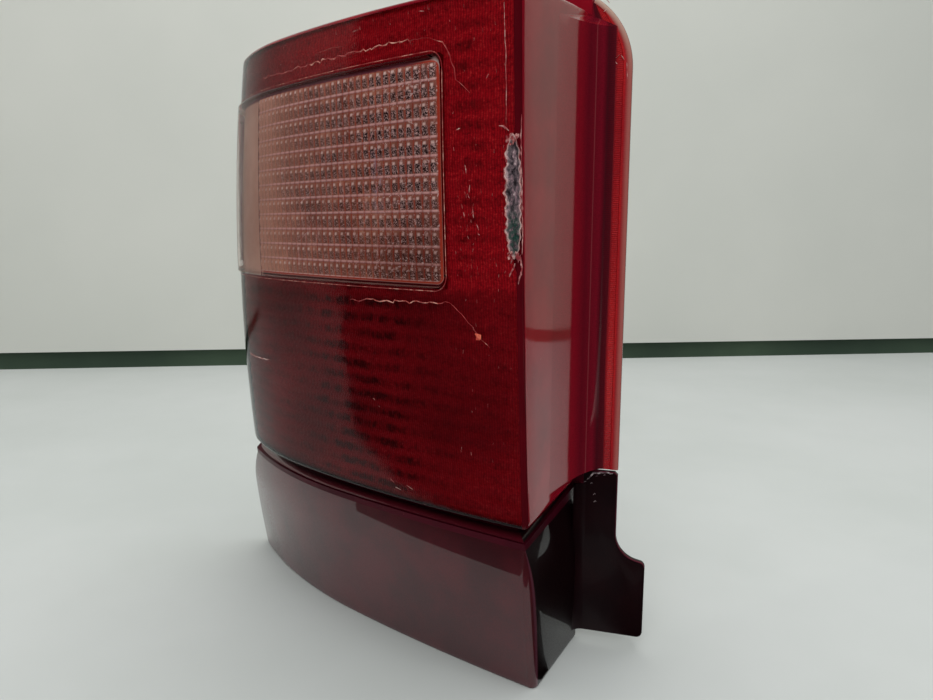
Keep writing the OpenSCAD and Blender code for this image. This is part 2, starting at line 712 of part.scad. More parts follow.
gasket_edge = 1;
gasket_w = 5;
carrier_round = 5;
module carrier_gasket() color(rubber) placed() upright(back_y, gasket_t) difference() {
    carrier_outline(gasket_edge);
    carrier_outline(gasket_edge + gasket_w);
}
module carrier_outline(draw_in) rounded_rect(carrier_x0 + draw_in, carrier_z0 + draw_in,
    carrier_x1 - draw_in, carrier_z1 - draw_in, carrier_round - draw_in / 2);

module bulb_carrier() color(black_plastic) placed() difference() {
    union() {
        upright(plate_front_y, carrier_t) carrier_outline(0);
        for (x = bulb_x) for (z = bulb_z) back_cylinder(x, z, plate_front_y, socket_end_y, socket_r);
        translate([carrier_mid_x - connector_w / 2, plate_rear_y - through,
            carrier_mid_z - connector_h / 2])
            cube([connector_w, connector_depth + through, connector_h]);
    }
    for (x = bulb_x) for (z = bulb_z)
        back_cylinder(x, z, plate_front_y - through, socket_floor_y, socket_bore_r);
    for (x = bulb_x) for (z = bulb_z)
        back_cylinder(x, z, socket_floor_y - through, socket_end_y + through, contact_hole_r);
    translate([carrier_mid_x - connector_w / 2 + connector_wall, plate_rear_y,
        carrier_mid_z - connector_h / 2 + connector_wall])
        cube([connector_w - 2 * connector_wall, connector_depth + through,
            connector_h - 2 * connector_wall]);
}

// Earth strip: a ring round each socket, joined by bars along the plate
module earth_strip() color(brass) placed() {
    ring_w = 4;
    bar_w = 6;
    hole_r = socket_r + fit;
    upright(plate_rear_y, contact_t) difference() {
        union() {
            for (x = bulb_x) for (z = bulb_z) translate([x, z]) circle(hole_r + ring_w);
            for (x = bulb_x) translate([x - bar_w / 2, bulb_z[0]])
                square([bar_w, bulb_pitch_z]);
            translate([bulb_x[1], bulb_z[0] - bar_w / 2]) square([bulb_pitch_x, bar_w]);
        }
        for (x = bulb_x) for (z = bulb_z) translate([x, z]) circle(hole_r);
    }
}

module feed_contacts() color(brass) placed()
    for (x = bulb_x) for (z = bulb_z)
        back_cylinder(x, z, solder_y, socket_floor_y, socket_bore_r - fit);

module connector_terminals() color(brass) placed() {
    blade_w = 2.8;
    blade_len = 11;
    pitch = (connector_w - 2 * connector_wall) / connector_pins;
    for (k = [0:connector_pins - 1])
        translate([carrier_mid_x + (k - (connector_pins - 1) / 2) * pitch - blade_w / 2, plate_rear_y,
            carrier_mid_z - contact_t / 2]) cube([blade_w, blade_len, contact_t]);
}

module mounting_studs() color(steel) placed() for (x = stud_x) for (z = stud_z) {
    back_cylinder(x, z, back_y + through + fit, boss_y + fit, stud_root_r);
    back_cylinder(x, z, boss_y, boss_y + stud_collar_t, 2 * stud_r);
    back_cylinder(x, z, boss_y + stud_collar_t - fit, boss_y + stud_collar_t + stud_len, stud_r);
}

module panel_screws() color(steel) placed() for (k = [0:2])
    translate([screw_place(k)[0], screw_place(k)[1], ledge_rear - panel_wall]) {
        cylinder(h = panel_wall + screw_len - through - fit, r = screw_r);
        translate([0, 0, -screw_head_t]) cylinder(h = screw_head_t, r = screw_head_r);
    }

module vent_cap() color(rubber) placed() difference() {
    back_cylinder(vent_place[0], vent_place[1], back_y, back_y + nipple_len + vent_wall,
        nipple_r + vent_wall);
    back_cylinder(vent_place[0], vent_place[1], back_y - through, back_y + nipple_len, nipple_r);
}

// Bayonet bulb: glass in front of its cap
module bulb_glass(x, z) {
    neck = bulb_cap_d / 2 - bulb_neck_step;
    r = bulb_glass_d / 2;
    swell = r - neck;
    dome = [for (a = [0:15:90]) [r * cos(a), bulb_glass_len - r + r * sin(a)]];
    translate([x, cap_front_y, z]) rotate([90, 0, 0])
        rotate_extrude() polygon(concat(
            [[0, 0], [neck, 0], [neck, bulb_neck_len], [r - swell / 5, bulb_neck_len + swell]],
            [for (p = dome) p[0] < 0.01 ? [0, p[1]] : p]
        ));
}
module bulb_cap(x, z) {
    back_cylinder(x, z, cap_front_y, cap_rear_y, bulb_cap_d / 2);
    back_cylinder(x, z, cap_rear_y, solder_y, solder_r);
}
module reverse_bulb() color("white", 0.6) placed() bulb_glass(bulb_x[0], bulb_z[1]);
module reverse_bulb_cap() color(brass) placed() bulb_cap(bulb_x[0], bulb_z[1]);
module indicator_bulb() color("orange", 0.6) placed() bulb_glass(bulb_x[1], bulb_z[1]);
module indicator_bulb_cap() color(brass) placed() bulb_cap(bulb_x[1], bulb_z[1]);
module stop_bulb() color("white", 0.6) placed() bulb_glass(bulb_x[0], bulb_z[0]);
module stop_bulb_cap() color(brass) placed() bulb_cap(bulb_x[0], bulb_z[0]);
module fog_bulb() color("white", 0.6) placed() bulb_glass(bulb_x[1], bulb_z[0]);
module fog_bulb_cap() color(brass) placed() bulb_cap(bulb_x[1], bulb_z[0]);

red_lens();
clear_window();
lower_panel();
rear_housing();
upper_reflector();
lower_reflector();
body_gasket();
carrier_gasket();
bulb_carrier();
earth_strip();
feed_contacts();
connector_terminals();
mounting_studs();
panel_screws();
vent_cap();
reverse_bulb();
reverse_bulb_cap();
indicator_bulb();
indicator_bulb_cap();
stop_bulb();
stop_bulb_cap();
fog_bulb();
fog_bulb_cap();
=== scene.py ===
"""Looks of the tail light cluster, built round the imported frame. Metres, in the row frame."""

import itertools
import math

import bmesh
import bpy
import numpy as np
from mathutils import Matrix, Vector


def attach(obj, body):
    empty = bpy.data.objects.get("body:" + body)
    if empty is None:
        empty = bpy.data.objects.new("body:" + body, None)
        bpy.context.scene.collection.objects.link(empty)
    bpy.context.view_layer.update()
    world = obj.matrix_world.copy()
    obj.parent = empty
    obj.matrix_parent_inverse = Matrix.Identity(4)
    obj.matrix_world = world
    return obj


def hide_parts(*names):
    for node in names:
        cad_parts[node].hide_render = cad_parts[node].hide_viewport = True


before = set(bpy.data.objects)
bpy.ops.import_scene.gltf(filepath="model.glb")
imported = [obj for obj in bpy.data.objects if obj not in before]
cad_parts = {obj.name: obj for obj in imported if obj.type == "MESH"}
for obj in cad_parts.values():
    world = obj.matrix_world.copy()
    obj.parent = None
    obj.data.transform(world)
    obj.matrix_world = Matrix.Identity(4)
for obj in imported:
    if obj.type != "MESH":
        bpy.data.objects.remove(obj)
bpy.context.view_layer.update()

# Sizes in millimetres, as in the part's source
MM = 0.001
SHIFT = np.array([84.978, -55.302, 0.0])
SIDE_DRAFT, LENS_SIDE_X, PANEL_SIDE_X = 0.2, 2.9, 1.2
LENS_HEADINGS, LENS_RADII = (13.6, 27.7, 44.0, 80.0), (621.0, 194.0, 80.0)
PANEL_HEADINGS, PANEL_RADII = (17.5, 24.0, 45.7, 80.0), (1105.0, 315.0, 10.0)
LENS_BOTTOM, LENS_TOP, LENS_CLIMB = 90.4, 315.2, 0.014
LENS_WALL = 3.0
WINDOW_S0, WINDOW_Z0, WINDOW_Z1, WINDOW_R = 38.0, 196.5, 293.0, 5.5
WINDOW_RIM, WINDOW_PROUD = 3.2, 1.5
PILLOW_W, PILLOW_H, PILLOW_COLUMNS, PILLOW_ROWS = 4.5, 7.7, 31, 12
ROWS_FOOT = WINDOW_Z1 - WINDOW_RIM / 2 - PILLOW_ROWS * PILLOW_H
PANEL_TOP, PANEL_FALL, LEDGE_REAR = 81.3, 0.019, 90.4
FLANGE_Y, FLANGE_T = 50.6, 3.5
RIM_Y = FLANGE_Y + FLANGE_T
TUB_BOTTOM, TUB_TOP = 95.0, 324.0
FLANGE_EDGE_X, FLANGE_LOW, FLANGE_HIGH, FLANGE_R = 32.32, 98.5, 336.0, 38.5
EAR_X, EAR_LOW, EAR_HIGH, EAR_FILLET = 47.72, 6.5, 49.5, 14.0
PANEL_FLANGE_HIGH = 97.3


def arc_total(headings, radii):
    return sum(r * math.radians(headings[k + 1] - headings[k]) for k, r in enumerate(radii))


LENS_LEN = arc_total(LENS_HEADINGS, LENS_RADII)
PANEL_LEN = arc_total(PANEL_HEADINGS, PANEL_RADII)
WINDOW_S1 = LENS_LEN - 8.0


def side_x(y, base):
    return base + SIDE_DRAFT * y


def front_curve(headings, radii, s):
    """Point and heading of a front at distance s round it."""
    left = np.asarray(s, float)
    x, y = np.zeros_like(left), np.zeros_like(left)
    heading = np.full_like(left, math.radians(headings[0]))
    for k, r in enumerate(radii):
        length = r * math.radians(headings[k + 1] - headings[k])
        here = left
        if k > 0:
            here = np.maximum(here, 0)
        if k < 2:
            here = np.minimum(here, length)
        after = heading + here / r
        x = x + r * (np.sin(heading) - np.sin(after))
        y = y + r * (np.cos(heading) - np.cos(after))
        heading = after
        left = left - length
    return x, y, heading


def lens_corner(z):
    h = np.asarray(z, float) - LENS_BOTTOM
    y = -20.4 - 0.0964 * h + 0.00014 * h * h
    return side_x(y, LENS_SIDE_X), y


def lens_turn(z):
    h = (np.asarray(z, float) - LENS_BOTTOM) / (LENS_TOP - LENS_BOTTOM)
    return np.radians(5 * h * h - 0.9 * h)


def lens(s, z, inset=0.0):
    """Point of the lens front, in the source's corner frame."""
    s, z, inset = np.broadcast_arrays(*(np.asarray(v, float) for v in (s, z, inset)))
    x, y, a = front_curve(LENS_HEADINGS, LENS_RADII, s)
    x, y = x + inset * np.sin(a), y + inset * np.cos(a)
    t = lens_turn(z)
    cx, cy = lens_corner(z)
    return np.stack([np.cos(t) * x + np.sin(t) * y + cx, -np.sin(t) * x + np.cos(t) * y + cy, z], -1)


def panel(s, z, inset=0.0):
    s, z, inset = np.broadcast_arrays(*(np.asarray(v, float) for v in (s, z, inset)))
    x, y, a = front_curve(PANEL_HEADINGS, PANEL_RADII, s)
    return np.stack([x + inset * np.sin(a) - 0.03 * z, y + inset * np.cos(a) - 0.143 * z, z], -1)


RIM_IN = np.array([side_x(RIM_Y, LENS_SIDE_X), RIM_Y])
RIM_OUT = lens(LENS_LEN, LENS_BOTTOM)[:2] + np.array([-1.0, 5.0])
PANEL_RIM_IN = np.array([side_x(RIM_Y, PANEL_SIDE_X), RIM_Y])
PANEL_RIM_OUT = panel(PANEL_LEN, 0.0)[:2] + np.array([-0.5, 3.0])


# Meshes
def finish_piece(name, mesh, sharp=32.0, stands_for=()):
    mesh.polygons.foreach_set("use_smooth", [True] * len(mesh.polygons))
    mesh.set_sharp_from_angle(angle=math.radians(sharp))
    mesh.update()
    piece = bpy.data.objects.new(name, mesh)
    bpy.context.scene.collection.objects.link(piece)
    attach(piece, "root")
    if stands_for:
        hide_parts(*stands_for)
    return piece


def add_piece(
    name, points, faces, materials, face_slots=None, uv=None, sharp=32.0, stands_for=(), rim=None
):
    """A mesh piece from points in the corner frame, in millimetres."""
    mesh = bpy.data.meshes.new(name)
    placed = (np.asarray(points, float) + SHIFT) * MM
    mesh.from_pydata([tuple(p) for p in placed], [], [tuple(int(i) for i in f) for f in faces])
    for material in materials:
        mesh.materials.append(material)
    if face_slots is not None:
        mesh.polygons.foreach_set("material_index", np.asarray(face_slots, np.int32))
    if uv is not None:
        layer = mesh.uv_layers.new(name="place")
        loops = np.zeros(len(mesh.loops), np.int32)
        mesh.loops.foreach_get("vertex_index", loops)
        layer.data.foreach_set("uv", (np.asarray(uv, float)[loops] * MM).astype(np.float32).ravel())
    if rim is not None:
        attribute = mesh.attributes.new("rim", "FLOAT", "POINT")
        attribute.data.foreach_set("value", np.asarray(rim, np.float32))
    mesh.validate()
    return finish_piece(name, mesh, sharp, stands_for)


def grid_faces(rows, columns, keep=None):
    """Quads of a grid whose points run row by row; keep[row, column] tells which cells stay."""
    faces = []
    for j in range(rows - 1):
        for i in range(columns - 1):
            if keep is None or keep[j, i]:
                a = j * columns + i
                faces.append((a, a + columns, a + columns + 1, a + 1))
    return faces


def clean(faces):
    """Faces with repeated corners folded to triangles, and emptied ones left out."""
    kept = []
    for f in faces:
        g = [f[i] for i in range(len(f)) if f[i] != f[i - 1]]
        if len(set(g)) >= 3:
            kept.append(tuple(g))
    return kept


def close_shell(outer, inner_offset):
    """Outer faces, their inner copies turned round, and walls along every free edge."""
    edges = {}
    for f in outer:
        for i in range(len(f)):
            edges[(f[i], f[(i + 1) % len(f)])] = True
    walls = [(b, a, a + inner_offset, b + inner_offset) for (a, b) in edges if (b, a) not in edges]
    inner = [tuple(v + inner_offset for v in reversed(f)) for f in outer]
    return inner, walls


def steps(start, end, size):
    n = max(1, int(round(abs(end - start) / size)))
    return [start + (end - start) * k / n for k in range(n)]


def slerp_arc(centre, start, end, count):
    """Points of a round corner from start to end about centre, ends included."""
    a, b = start - centre, end - centre
    angle = math.acos(max(-1.0, min(1.0, float(a @ b / (np.linalg.norm(a) * np.linalg.norm(b))))))
    out = []
    for k in range(count + 1):
        t = k / count
        if angle < 1e-4:
            out.append(centre + a + (b - a) * t)
        else:
            out.append(centre + (a * math.sin((1 - t) * angle) + b * math.sin(t * angle)) / math.sin(angle))
    return out


def cross_at(p, d, q, e):
    """Where the line from p along d meets the line from q along e: the way along each."""
    m = np.array([[d[0], -e[0]], [d[1], -e[1]]])
    return np.linalg.solve(m, q - p)


def round_corner(corner, wall_a, wall_b, inset, radius, count):
    """Points of a round corner from wall a to wall b, each (direction, way in), and its end along b."""
    (dir_a, in_a), (dir_b, in_b) = wall_a, wall_b
    p, q = corner + inset * in_a, corner + inset * in_b
    along_a, along_b = cross_at(p, dir_a, q, dir_b)
    apex = p + along_a * dir_a
    half = math.acos(max(-1.0, min(1.0, float(dir_a @ dir_b)))) / 2
    reach = radius / math.tan(half)
    bisector = (dir_a + dir_b) / np.linalg.norm(dir_a + dir_b)
    centre = apex + bisector * radius / math.sin(half)
    points = slerp_arc(centre, apex + reach * dir_a, apex + reach * dir_b, count)
    return points, along_b + reach


# Points of a ring's parts: side wall, round inner corner, round end and end wall
SIDE_STEPS, CORNER_STEPS, END_CORNER_STEPS, END_STEPS = 7, 6, 4, 3
FRONT_FIRST = SIDE_STEPS + CORNER_STEPS + 1
# The length at both ends over which columns make room for the round corners, and the gap left there
BLEND, CORNER_GAP = 12.0, 0.05
# How far from the corner the round corner counts as reaching, on both sides, in a ring's ways
CORNER_WAY = 3.0


def rim_rows(columns, rim_in, rim_out, heights):
    """Rows of points along a straight rim, one for each of a ring's points."""
    front = (np.array(columns) - columns[0]) / (columns[-1] - columns[0])
    share = np.concatenate([
        np.linspace(0, 0.05, SIDE_STEPS, endpoint=False), np.linspace(0.05, 0.07, CORNER_STEPS + 1),
        0.07 + 0.86 * front,
        np.linspace(0.935, 0.95, END_CORNER_STEPS + 1), np.linspace(0.96, 1.0, END_STEPS),
    ])
    rim = rim_in + (rim_out - rim_in) * share[:, None]
    return [np.column_stack([rim, np.full(len(share), z)]) for z in heights]


class Wrap:
    """A moulding whose front wraps round the outer corner of the car."""

    def __init__(self, place, length, rim_in, rim_out, rear_of, corner_radius, end_radius, heading_of):
        self.place, self.length = place, length
        self.rim_in, self.rim_out, self.rear_of = rim_in, rim_out, rear_of
        self.corner_radius, self.end_radius, self.heading_of = corner_radius, end_radius, heading_of
        unit = math.hypot(SIDE_DRAFT, 1.0)
        self.side = np.array([SIDE_DRAFT, 1.0]) / unit, np.array([-1.0, SIDE_DRAFT]) / unit

    def start_at(self, s, z):
        """Point of the front there, and the ways along and in from it."""
        a = self.heading_of(s, z)
        way_in = np.array([math.sin(a), math.cos(a)])
        return self.place(s, z)[:2], np.array([-math.cos(a), math.sin(a)]), way_in

    def front_ways(self, columns, start, stop):
        """The columns, drawn together at both ends to make room for the round corners."""
        s = np.array(columns, float)
        last_blend = self.length - BLEND
        near, far = s < BLEND, s > last_blend
        first, last = s[0], s[-1]
        begin, end = start + CORNER_GAP, stop - CORNER_GAP
        s[near] = begin + (s[near] - first) * (BLEND - begin) / (BLEND - first)
        s[far] = last_blend + (s[far] - last_blend) * ((end - last_blend) / (last - last_blend))
        return s

    def ring(self, z, slope, inset, columns, relief=0.0):
        """Points at height z, climbing by slope along the front, and how far round each lies."""
        corner, ahead, way_in = self.start_at(0.0, z)
        radius = max(0.5, self.corner_radius - inset)
        fillet, start = round_corner(corner, self.side, (ahead, way_in), inset, radius, CORNER_STEPS)
        rear, rear_z = self.rim_in + inset * self.side[1], self.rear_of(z)
        points, way = [], []
        for k in range(SIDE_STEPS):
            t = k / SIDE_STEPS
            xy = rear + (fillet[0] - rear) * t
            points.append((xy[0], xy[1], rear_z + (z - rear_z) * t))
            way.append(-np.linalg.norm(xy - fillet[0]) - CORNER_WAY)
        for k, xy in enumerate(fillet):
            points.append((xy[0], xy[1], z))
            way.append(-CORNER_WAY + 2 * CORNER_WAY * k / len(fillet))
        ze = z + slope * self.length
        end, ahead, way_in = self.start_at(self.length, ze)
        wall = (self.rim_out - end) / np.linalg.norm(self.rim_out - end)
        wall_in = np.array([wall[1], -wall[0]])
        if wall_in[0] < 0:
            wall_in = -wall_in
        radius = max(0.4, self.end_radius - inset)
        fillet, _ = round_corner(end, (-ahead, way_in), (wall, wall_in), inset, radius, END_CORNER_STEPS)
        stop = self.length + float((fillet[0] - end - inset * way_in) @ ahead)
        s = self.front_ways(columns, start, stop)
        points.extend(tuple(p) for p in self.place(s, z + slope * s, inset + relief))
        way.extend(columns)
        for k, xy in enumerate(fillet):
            points.append((xy[0], xy[1], ze))
            way.append(self.length - 2.0 + k)
        rear, rear_z = self.rim_out + inset * wall_in, self.rear_of(ze)
        for k in range(1, END_STEPS + 1):
            t = k / END_STEPS
            xy = fillet[-1] + (rear - fillet[-1]) * t
            points.append((xy[0], xy[1], ze + (rear_z - ze) * t))
            way.append(self.length + 3.0 + 4.0 * t)
        return points, way


# Materials
def srgb(r, g, b):
    out = [(v / 255 / 12.92) if v / 255 <= 0.04045 else ((v / 255 + 0.055) / 1.055) ** 2.4 for v in (r, g, b)]
    return (*out, 1.0)


class Nodes:
    """A short way to write a material's nodes. A colour of three numbers is sRGB, from 0 to 255."""

    def __init__(self, name):
        self.material = bpy.data.materials.new(name)
        self.material.use_nodes = True
        self.tree = self.material.node_tree
        self.tree.nodes.clear()
        self.out = self.tree.nodes.new("ShaderNodeOutputMaterial")

    def put(self, socket, value):
        if isinstance(value, bpy.types.NodeSocket):
            self.tree.links.new(value, socket)
        elif socket.type == "RGBA" and len(value) == 3:
            socket.default_value = srgb(*value)
        else:
            socket.default_value = value

    def node(self, kind, inputs=None, **settings):
        n = self.tree.nodes.new("ShaderNode" + kind)
        for key, value in settings.items():
            setattr(n, key, value)
        for key, value in (inputs or {}).items():
            self.put(n.inputs[key], value)
        return n

    def math(self, op, a, b=None, c=None, clamp=False):
        n = self.node("Math", operation=op, use_clamp=clamp)
        for k, v in enumerate((a, b, c)):
            if v is not None:
                self.put(n.inputs[k], v)
        return n.outputs[0]

    def plus(self, a, b):
        return self.math("ADD", a, b)

    def minus(self, a, b):
        return self.math("SUBTRACT", a, b)

    def times(self, a, b, clamp=False):
        return self.math("MULTIPLY", a, b, clamp=clamp)

    def over(self, a, b):
        return self.math("DIVIDE", a, b)

    def times_plus(self, a, b, c):
        """a times b, plus c."""
        return self.math("MULTIPLY_ADD", a, b, c)

    def most(self, a, b):
        return self.math("MAXIMUM", a, b)

    def fract(self, a):
        return self.math("FRACT", a)

    def mix(self, factor, a, b, blend="MIX"):
        n = self.node("Mix", data_type="RGBA", blend_type=blend)
        for key, v in ((0, factor), (6, a), (7, b)):
            self.put(n.inputs[key], v)
        return n.outputs[2]

    def ramp(self, value, stops, smooth=True):
        n = self.node("ValToRGB", {"Fac": value})
        n.color_ramp.interpolation = "EASE" if smooth else "LINEAR"
        for k, (at, colour) in enumerate(stops):
            e = n.color_ramp.elements[k] if k < 2 else n.color_ramp.elements.new(at)
            e.position = at
            e.color = srgb(*colour)
        return n.outputs[0]

    def fall(self, value, low, high):
        return self.level(value, low, high, 1.0, 0.0)

    def level(self, value, low, high, to_low=0.0, to_high=1.0):
        """A soft step from to_low, at and under low, to to_high, at and over high."""
        inputs = {0: value, 1: low, 2: high, 3: to_low, 4: to_high}
        return self.node("MapRange", inputs, interpolation_type="SMOOTHSTEP").outputs[0]

    def place(self):
        return self.node("TexCoord").outputs["Object"]

    def ways(self):
        """The two lengths stored with a piece, in millimetres: mostly the way round it and the height."""
        x = self.node("SeparateXYZ", {0: self.node("UVMap", uv_map="place").outputs[0]})
        return self.times(x.outputs[0], 1 / MM), self.times(x.outputs[1], 1 / MM)

    def vector(self, x, y):
        return self.node("CombineXYZ", {0: x, 1: y, 2: 0.0}).outputs[0]

    def scaled(self, vector, scale):
        return self.node("VectorMath", {0: vector, 1: scale}, operation="MULTIPLY").outputs[0]

    def noise(self, vector, scale, detail=2.0, rough=0.5):
        inputs = {"Vector": vector, "Scale": scale, "Detail": detail, "Roughness": rough}
        return self.node("TexNoise", inputs).outputs["Fac"]

    def bump(self, height, strength, distance):
        return self.node("Bump", {"Height": height, "Strength": strength, "Distance": distance}).outputs[0]

    def principled(self, **inputs):
        n = self.node("BsdfPrincipled", {k.replace("_", " "): v for k, v in inputs.items()})
        return n.outputs[0]

    def finish(self, shader):
        self.tree.links.new(shader, self.out.inputs["Surface"])
        return self.material


def see_through(name, tint, roughness, ior, marks):
    """Clear gloss over whatever lies behind it."""
    m = Nodes(name)
    where = m.place()
    wave = m.noise(where, 28.0, 2.0)
    fine = m.noise(m.scaled(where, (1.0, 1.0, 2.2)), 900.0, 3.0, 0.6)
    height = m.times_plus(fine, 0.04, wave)
    normal = m.bump(height, 0.35, 0.0009)
    rough = m.level(m.noise(where, 60.0, 4.0, 0.65), 0.3, 0.75, roughness, roughness + marks)
    clear = m.node("BsdfTransparent", {"Color": tint}).outputs[0]
    gloss = m.node("BsdfGlossy", {"Color": (1, 1, 1, 1), "Roughness": rough, "Normal": normal}).outputs[0]
    facing = m.math("POWER", m.node("Fresnel", {"IOR": ior, "Normal": normal}).outputs[0], 1.35)
    blend = m.node("MixShader", {0: facing, 1: clear, 2: gloss}).outputs[0]
    return m.finish(blend)


def solid_red(name, colour, dark, roughness=0.03, ior=1.42):
    """Gloss plastic that nothing shows through, with a few pale specks."""
    m = Nodes(name)
    where = m.place()
    cloud = m.noise(where, 22.0, 4.0, 0.6)
    base = m.mix(m.level(cloud, 0.3, 0.75), colour, dark)
    speck = m.level(m.noise(where, 420.0, 2.0), 0.72, 0.8)
    base = m.mix(m.times(speck, 0.3), base, (150, 90, 88))
    rough = m.level(m.noise(where, 90.0, 4.0, 0.65), 0.3, 0.8, roughness, roughness + 0.05)
    height = m.times_plus(m.noise(where, 700.0, 2.0), 0.05, m.noise(where, 35.0, 2.0))
    normal = m.bump(height, 0.05, 0.0008)
    return m.finish(m.principled(Base_Color=base, Roughness=rough, IOR=ior, Normal=normal))


def band(m, value, low, high, soft):
    """1 between low and high, with soft edges."""
    rise = m.level(value, low - soft, low + soft)
    return m.times(rise, m.fall(value, high - soft, high + soft))


def off_centre(m, value):
    """How far a cell's coordinate lies from the cell's middle."""
    return m.math("ABSOLUTE", m.minus(value, 0.5))


def red_optics():
    """The level flutes and fine upright prisms inside the red lens, with the lamp's shaded inside painted
    behind them as dark bands, and painted shade towards the bottom.
    """
    m = Nodes("red_optics")
    s, z = m.ways()
    where = m.place()
    wobble = m.minus(m.noise(m.scaled(where, (1, 1, 0.6)), 45.0, 3.0, 0.6), 0.5)
    fine_wobble = m.minus(m.noise(where, 190.0, 2.0, 0.6), 0.5)
    wobble = m.plus(m.times(wobble, 0.42), m.times(fine_wobble, 0.3))
    row = m.plus(m.over(m.minus(z, ROWS_FOOT), PILLOW_H), wobble)
    stripe = m.fall(off_centre(m, m.fract(row)), 0.06, 0.42)
    cell = m.vector(m.over(s, 20.0), m.math("FLOOR", row))
    clump = m.level(m.noise(cell, 2.3, 3.0, 0.6), 0.38, 0.62)
    dots = m.vector(m.over(s, 3.4), m.times(row, 2.0))
    dotted = m.level(m.noise(dots, 1.6, 2.0, 0.6), 0.34, 0.6, 0.35, 1.0)
    below = m.fall(z, 190.0, 200.0)
    low_reach = m.plus(band(m, s, 66.0, 122.0, 20.0), m.level(s, 12.0, 70.0, 0.3, 0.62))
    blob = m.times(band(m, s, 17.0, 34.0, 6.0), m.level(z, 192.0, 206.0, 0.0, 0.75))
    above = m.times(m.level(z, 291.0, 297.0), 0.42)
    reach = m.most(m.most(m.times(low_reach, below), blob), above)
    reach = m.most(reach, m.level(s, 2.0, 40.0, 0.42, 0.3))
    edge = m.times(m.level(z, 91.0, 96.0), m.level(s, 4.0, 12.0, 0.3, 1.0))
    # The dark bands are painted shade: the lamp's dark inside as the optics show it.
    dark = m.times(stripe, m.times_plus(clump, 0.75, 0.25))
    dark = m.times(m.times(dark, dotted), m.times(reach, edge), clamp=True)
    # Painted shade: the red turns darker towards the bottom and towards the outer end.
    shade = m.level(m.noise(where, 16.0, 2.0), 0.3, 0.7, 0.45, 0.8)
    painted_low_shade = m.times(shade, m.times(below, m.level(s, 10.0, 60.0, 0.85, 1.0)))
    painted_low_shade = m.most(painted_low_shade, m.times(m.level(s, 120.0, 190.0), 0.4))
    rib = off_centre(m, m.fract(m.over(s, 1.3)))
    grain = m.noise(m.scaled(where, (1, 1, 0.5)), 1300.0, 2.0, 0.6)
    streak = m.level(m.times_plus(grain, 0.5, rib), 0.3, 0.75)
    red = m.ramp(
        m.noise(m.scaled(where, (1.0, 1.0, 1.7)), 520.0, 4.0, 0.75),
        [(0.3, (136, 24, 42)), (0.5, (210, 40, 62)), (0.74, (255, 106, 102))],
    )
    red = m.mix(m.times(streak, 0.5), red, (112, 20, 38))
    red = m.mix(painted_low_shade, red, (92, 18, 32))
    base = m.mix(m.times(dark, 0.85), red, (44, 14, 20))
    height = m.plus(m.times(rib, 0.5), m.times(grain, 0.4))
    return m.finish(m.principled(Base_Color=base, Roughness=0.3, IOR=1.5, Normal=m.bump(height, 0.8, 0.0006)))


def window_rim(m, s, z):
    """How far a point lies inside the window's outline, and how near it is to the upper inner corner."""
    half_s, half_z = (WINDOW_S1 - WINDOW_S0) / 2 - WINDOW_R, (WINDOW_Z1 - WINDOW_Z0) / 2 - WINDOW_R
    from_s = m.minus(s, (WINDOW_S0 + WINDOW_S1) / 2)
    from_z = m.minus(z, (WINDOW_Z0 + WINDOW_Z1) / 2)
    qs = m.minus(m.math("ABSOLUTE", from_s), half_s)
    qz = m.minus(m.math("ABSOLUTE", from_z), half_z)
    far = m.math("POWER", m.most(qs, 0.0), 2.0)
    far = m.math("SQRT", m.plus(far, m.math("POWER", m.most(qz, 0.0), 2.0)))
    near = m.math("MINIMUM", m.most(qs, qz), 0.0)
    inside = m.minus(WINDOW_R, m.plus(far, near))
    at_left = m.fall(from_s, -half_s - 1.5, -half_s + 1.5)
    corner = m.times(at_left, m.level(from_z, half_z - 3.0, half_z))
    return inside, corner


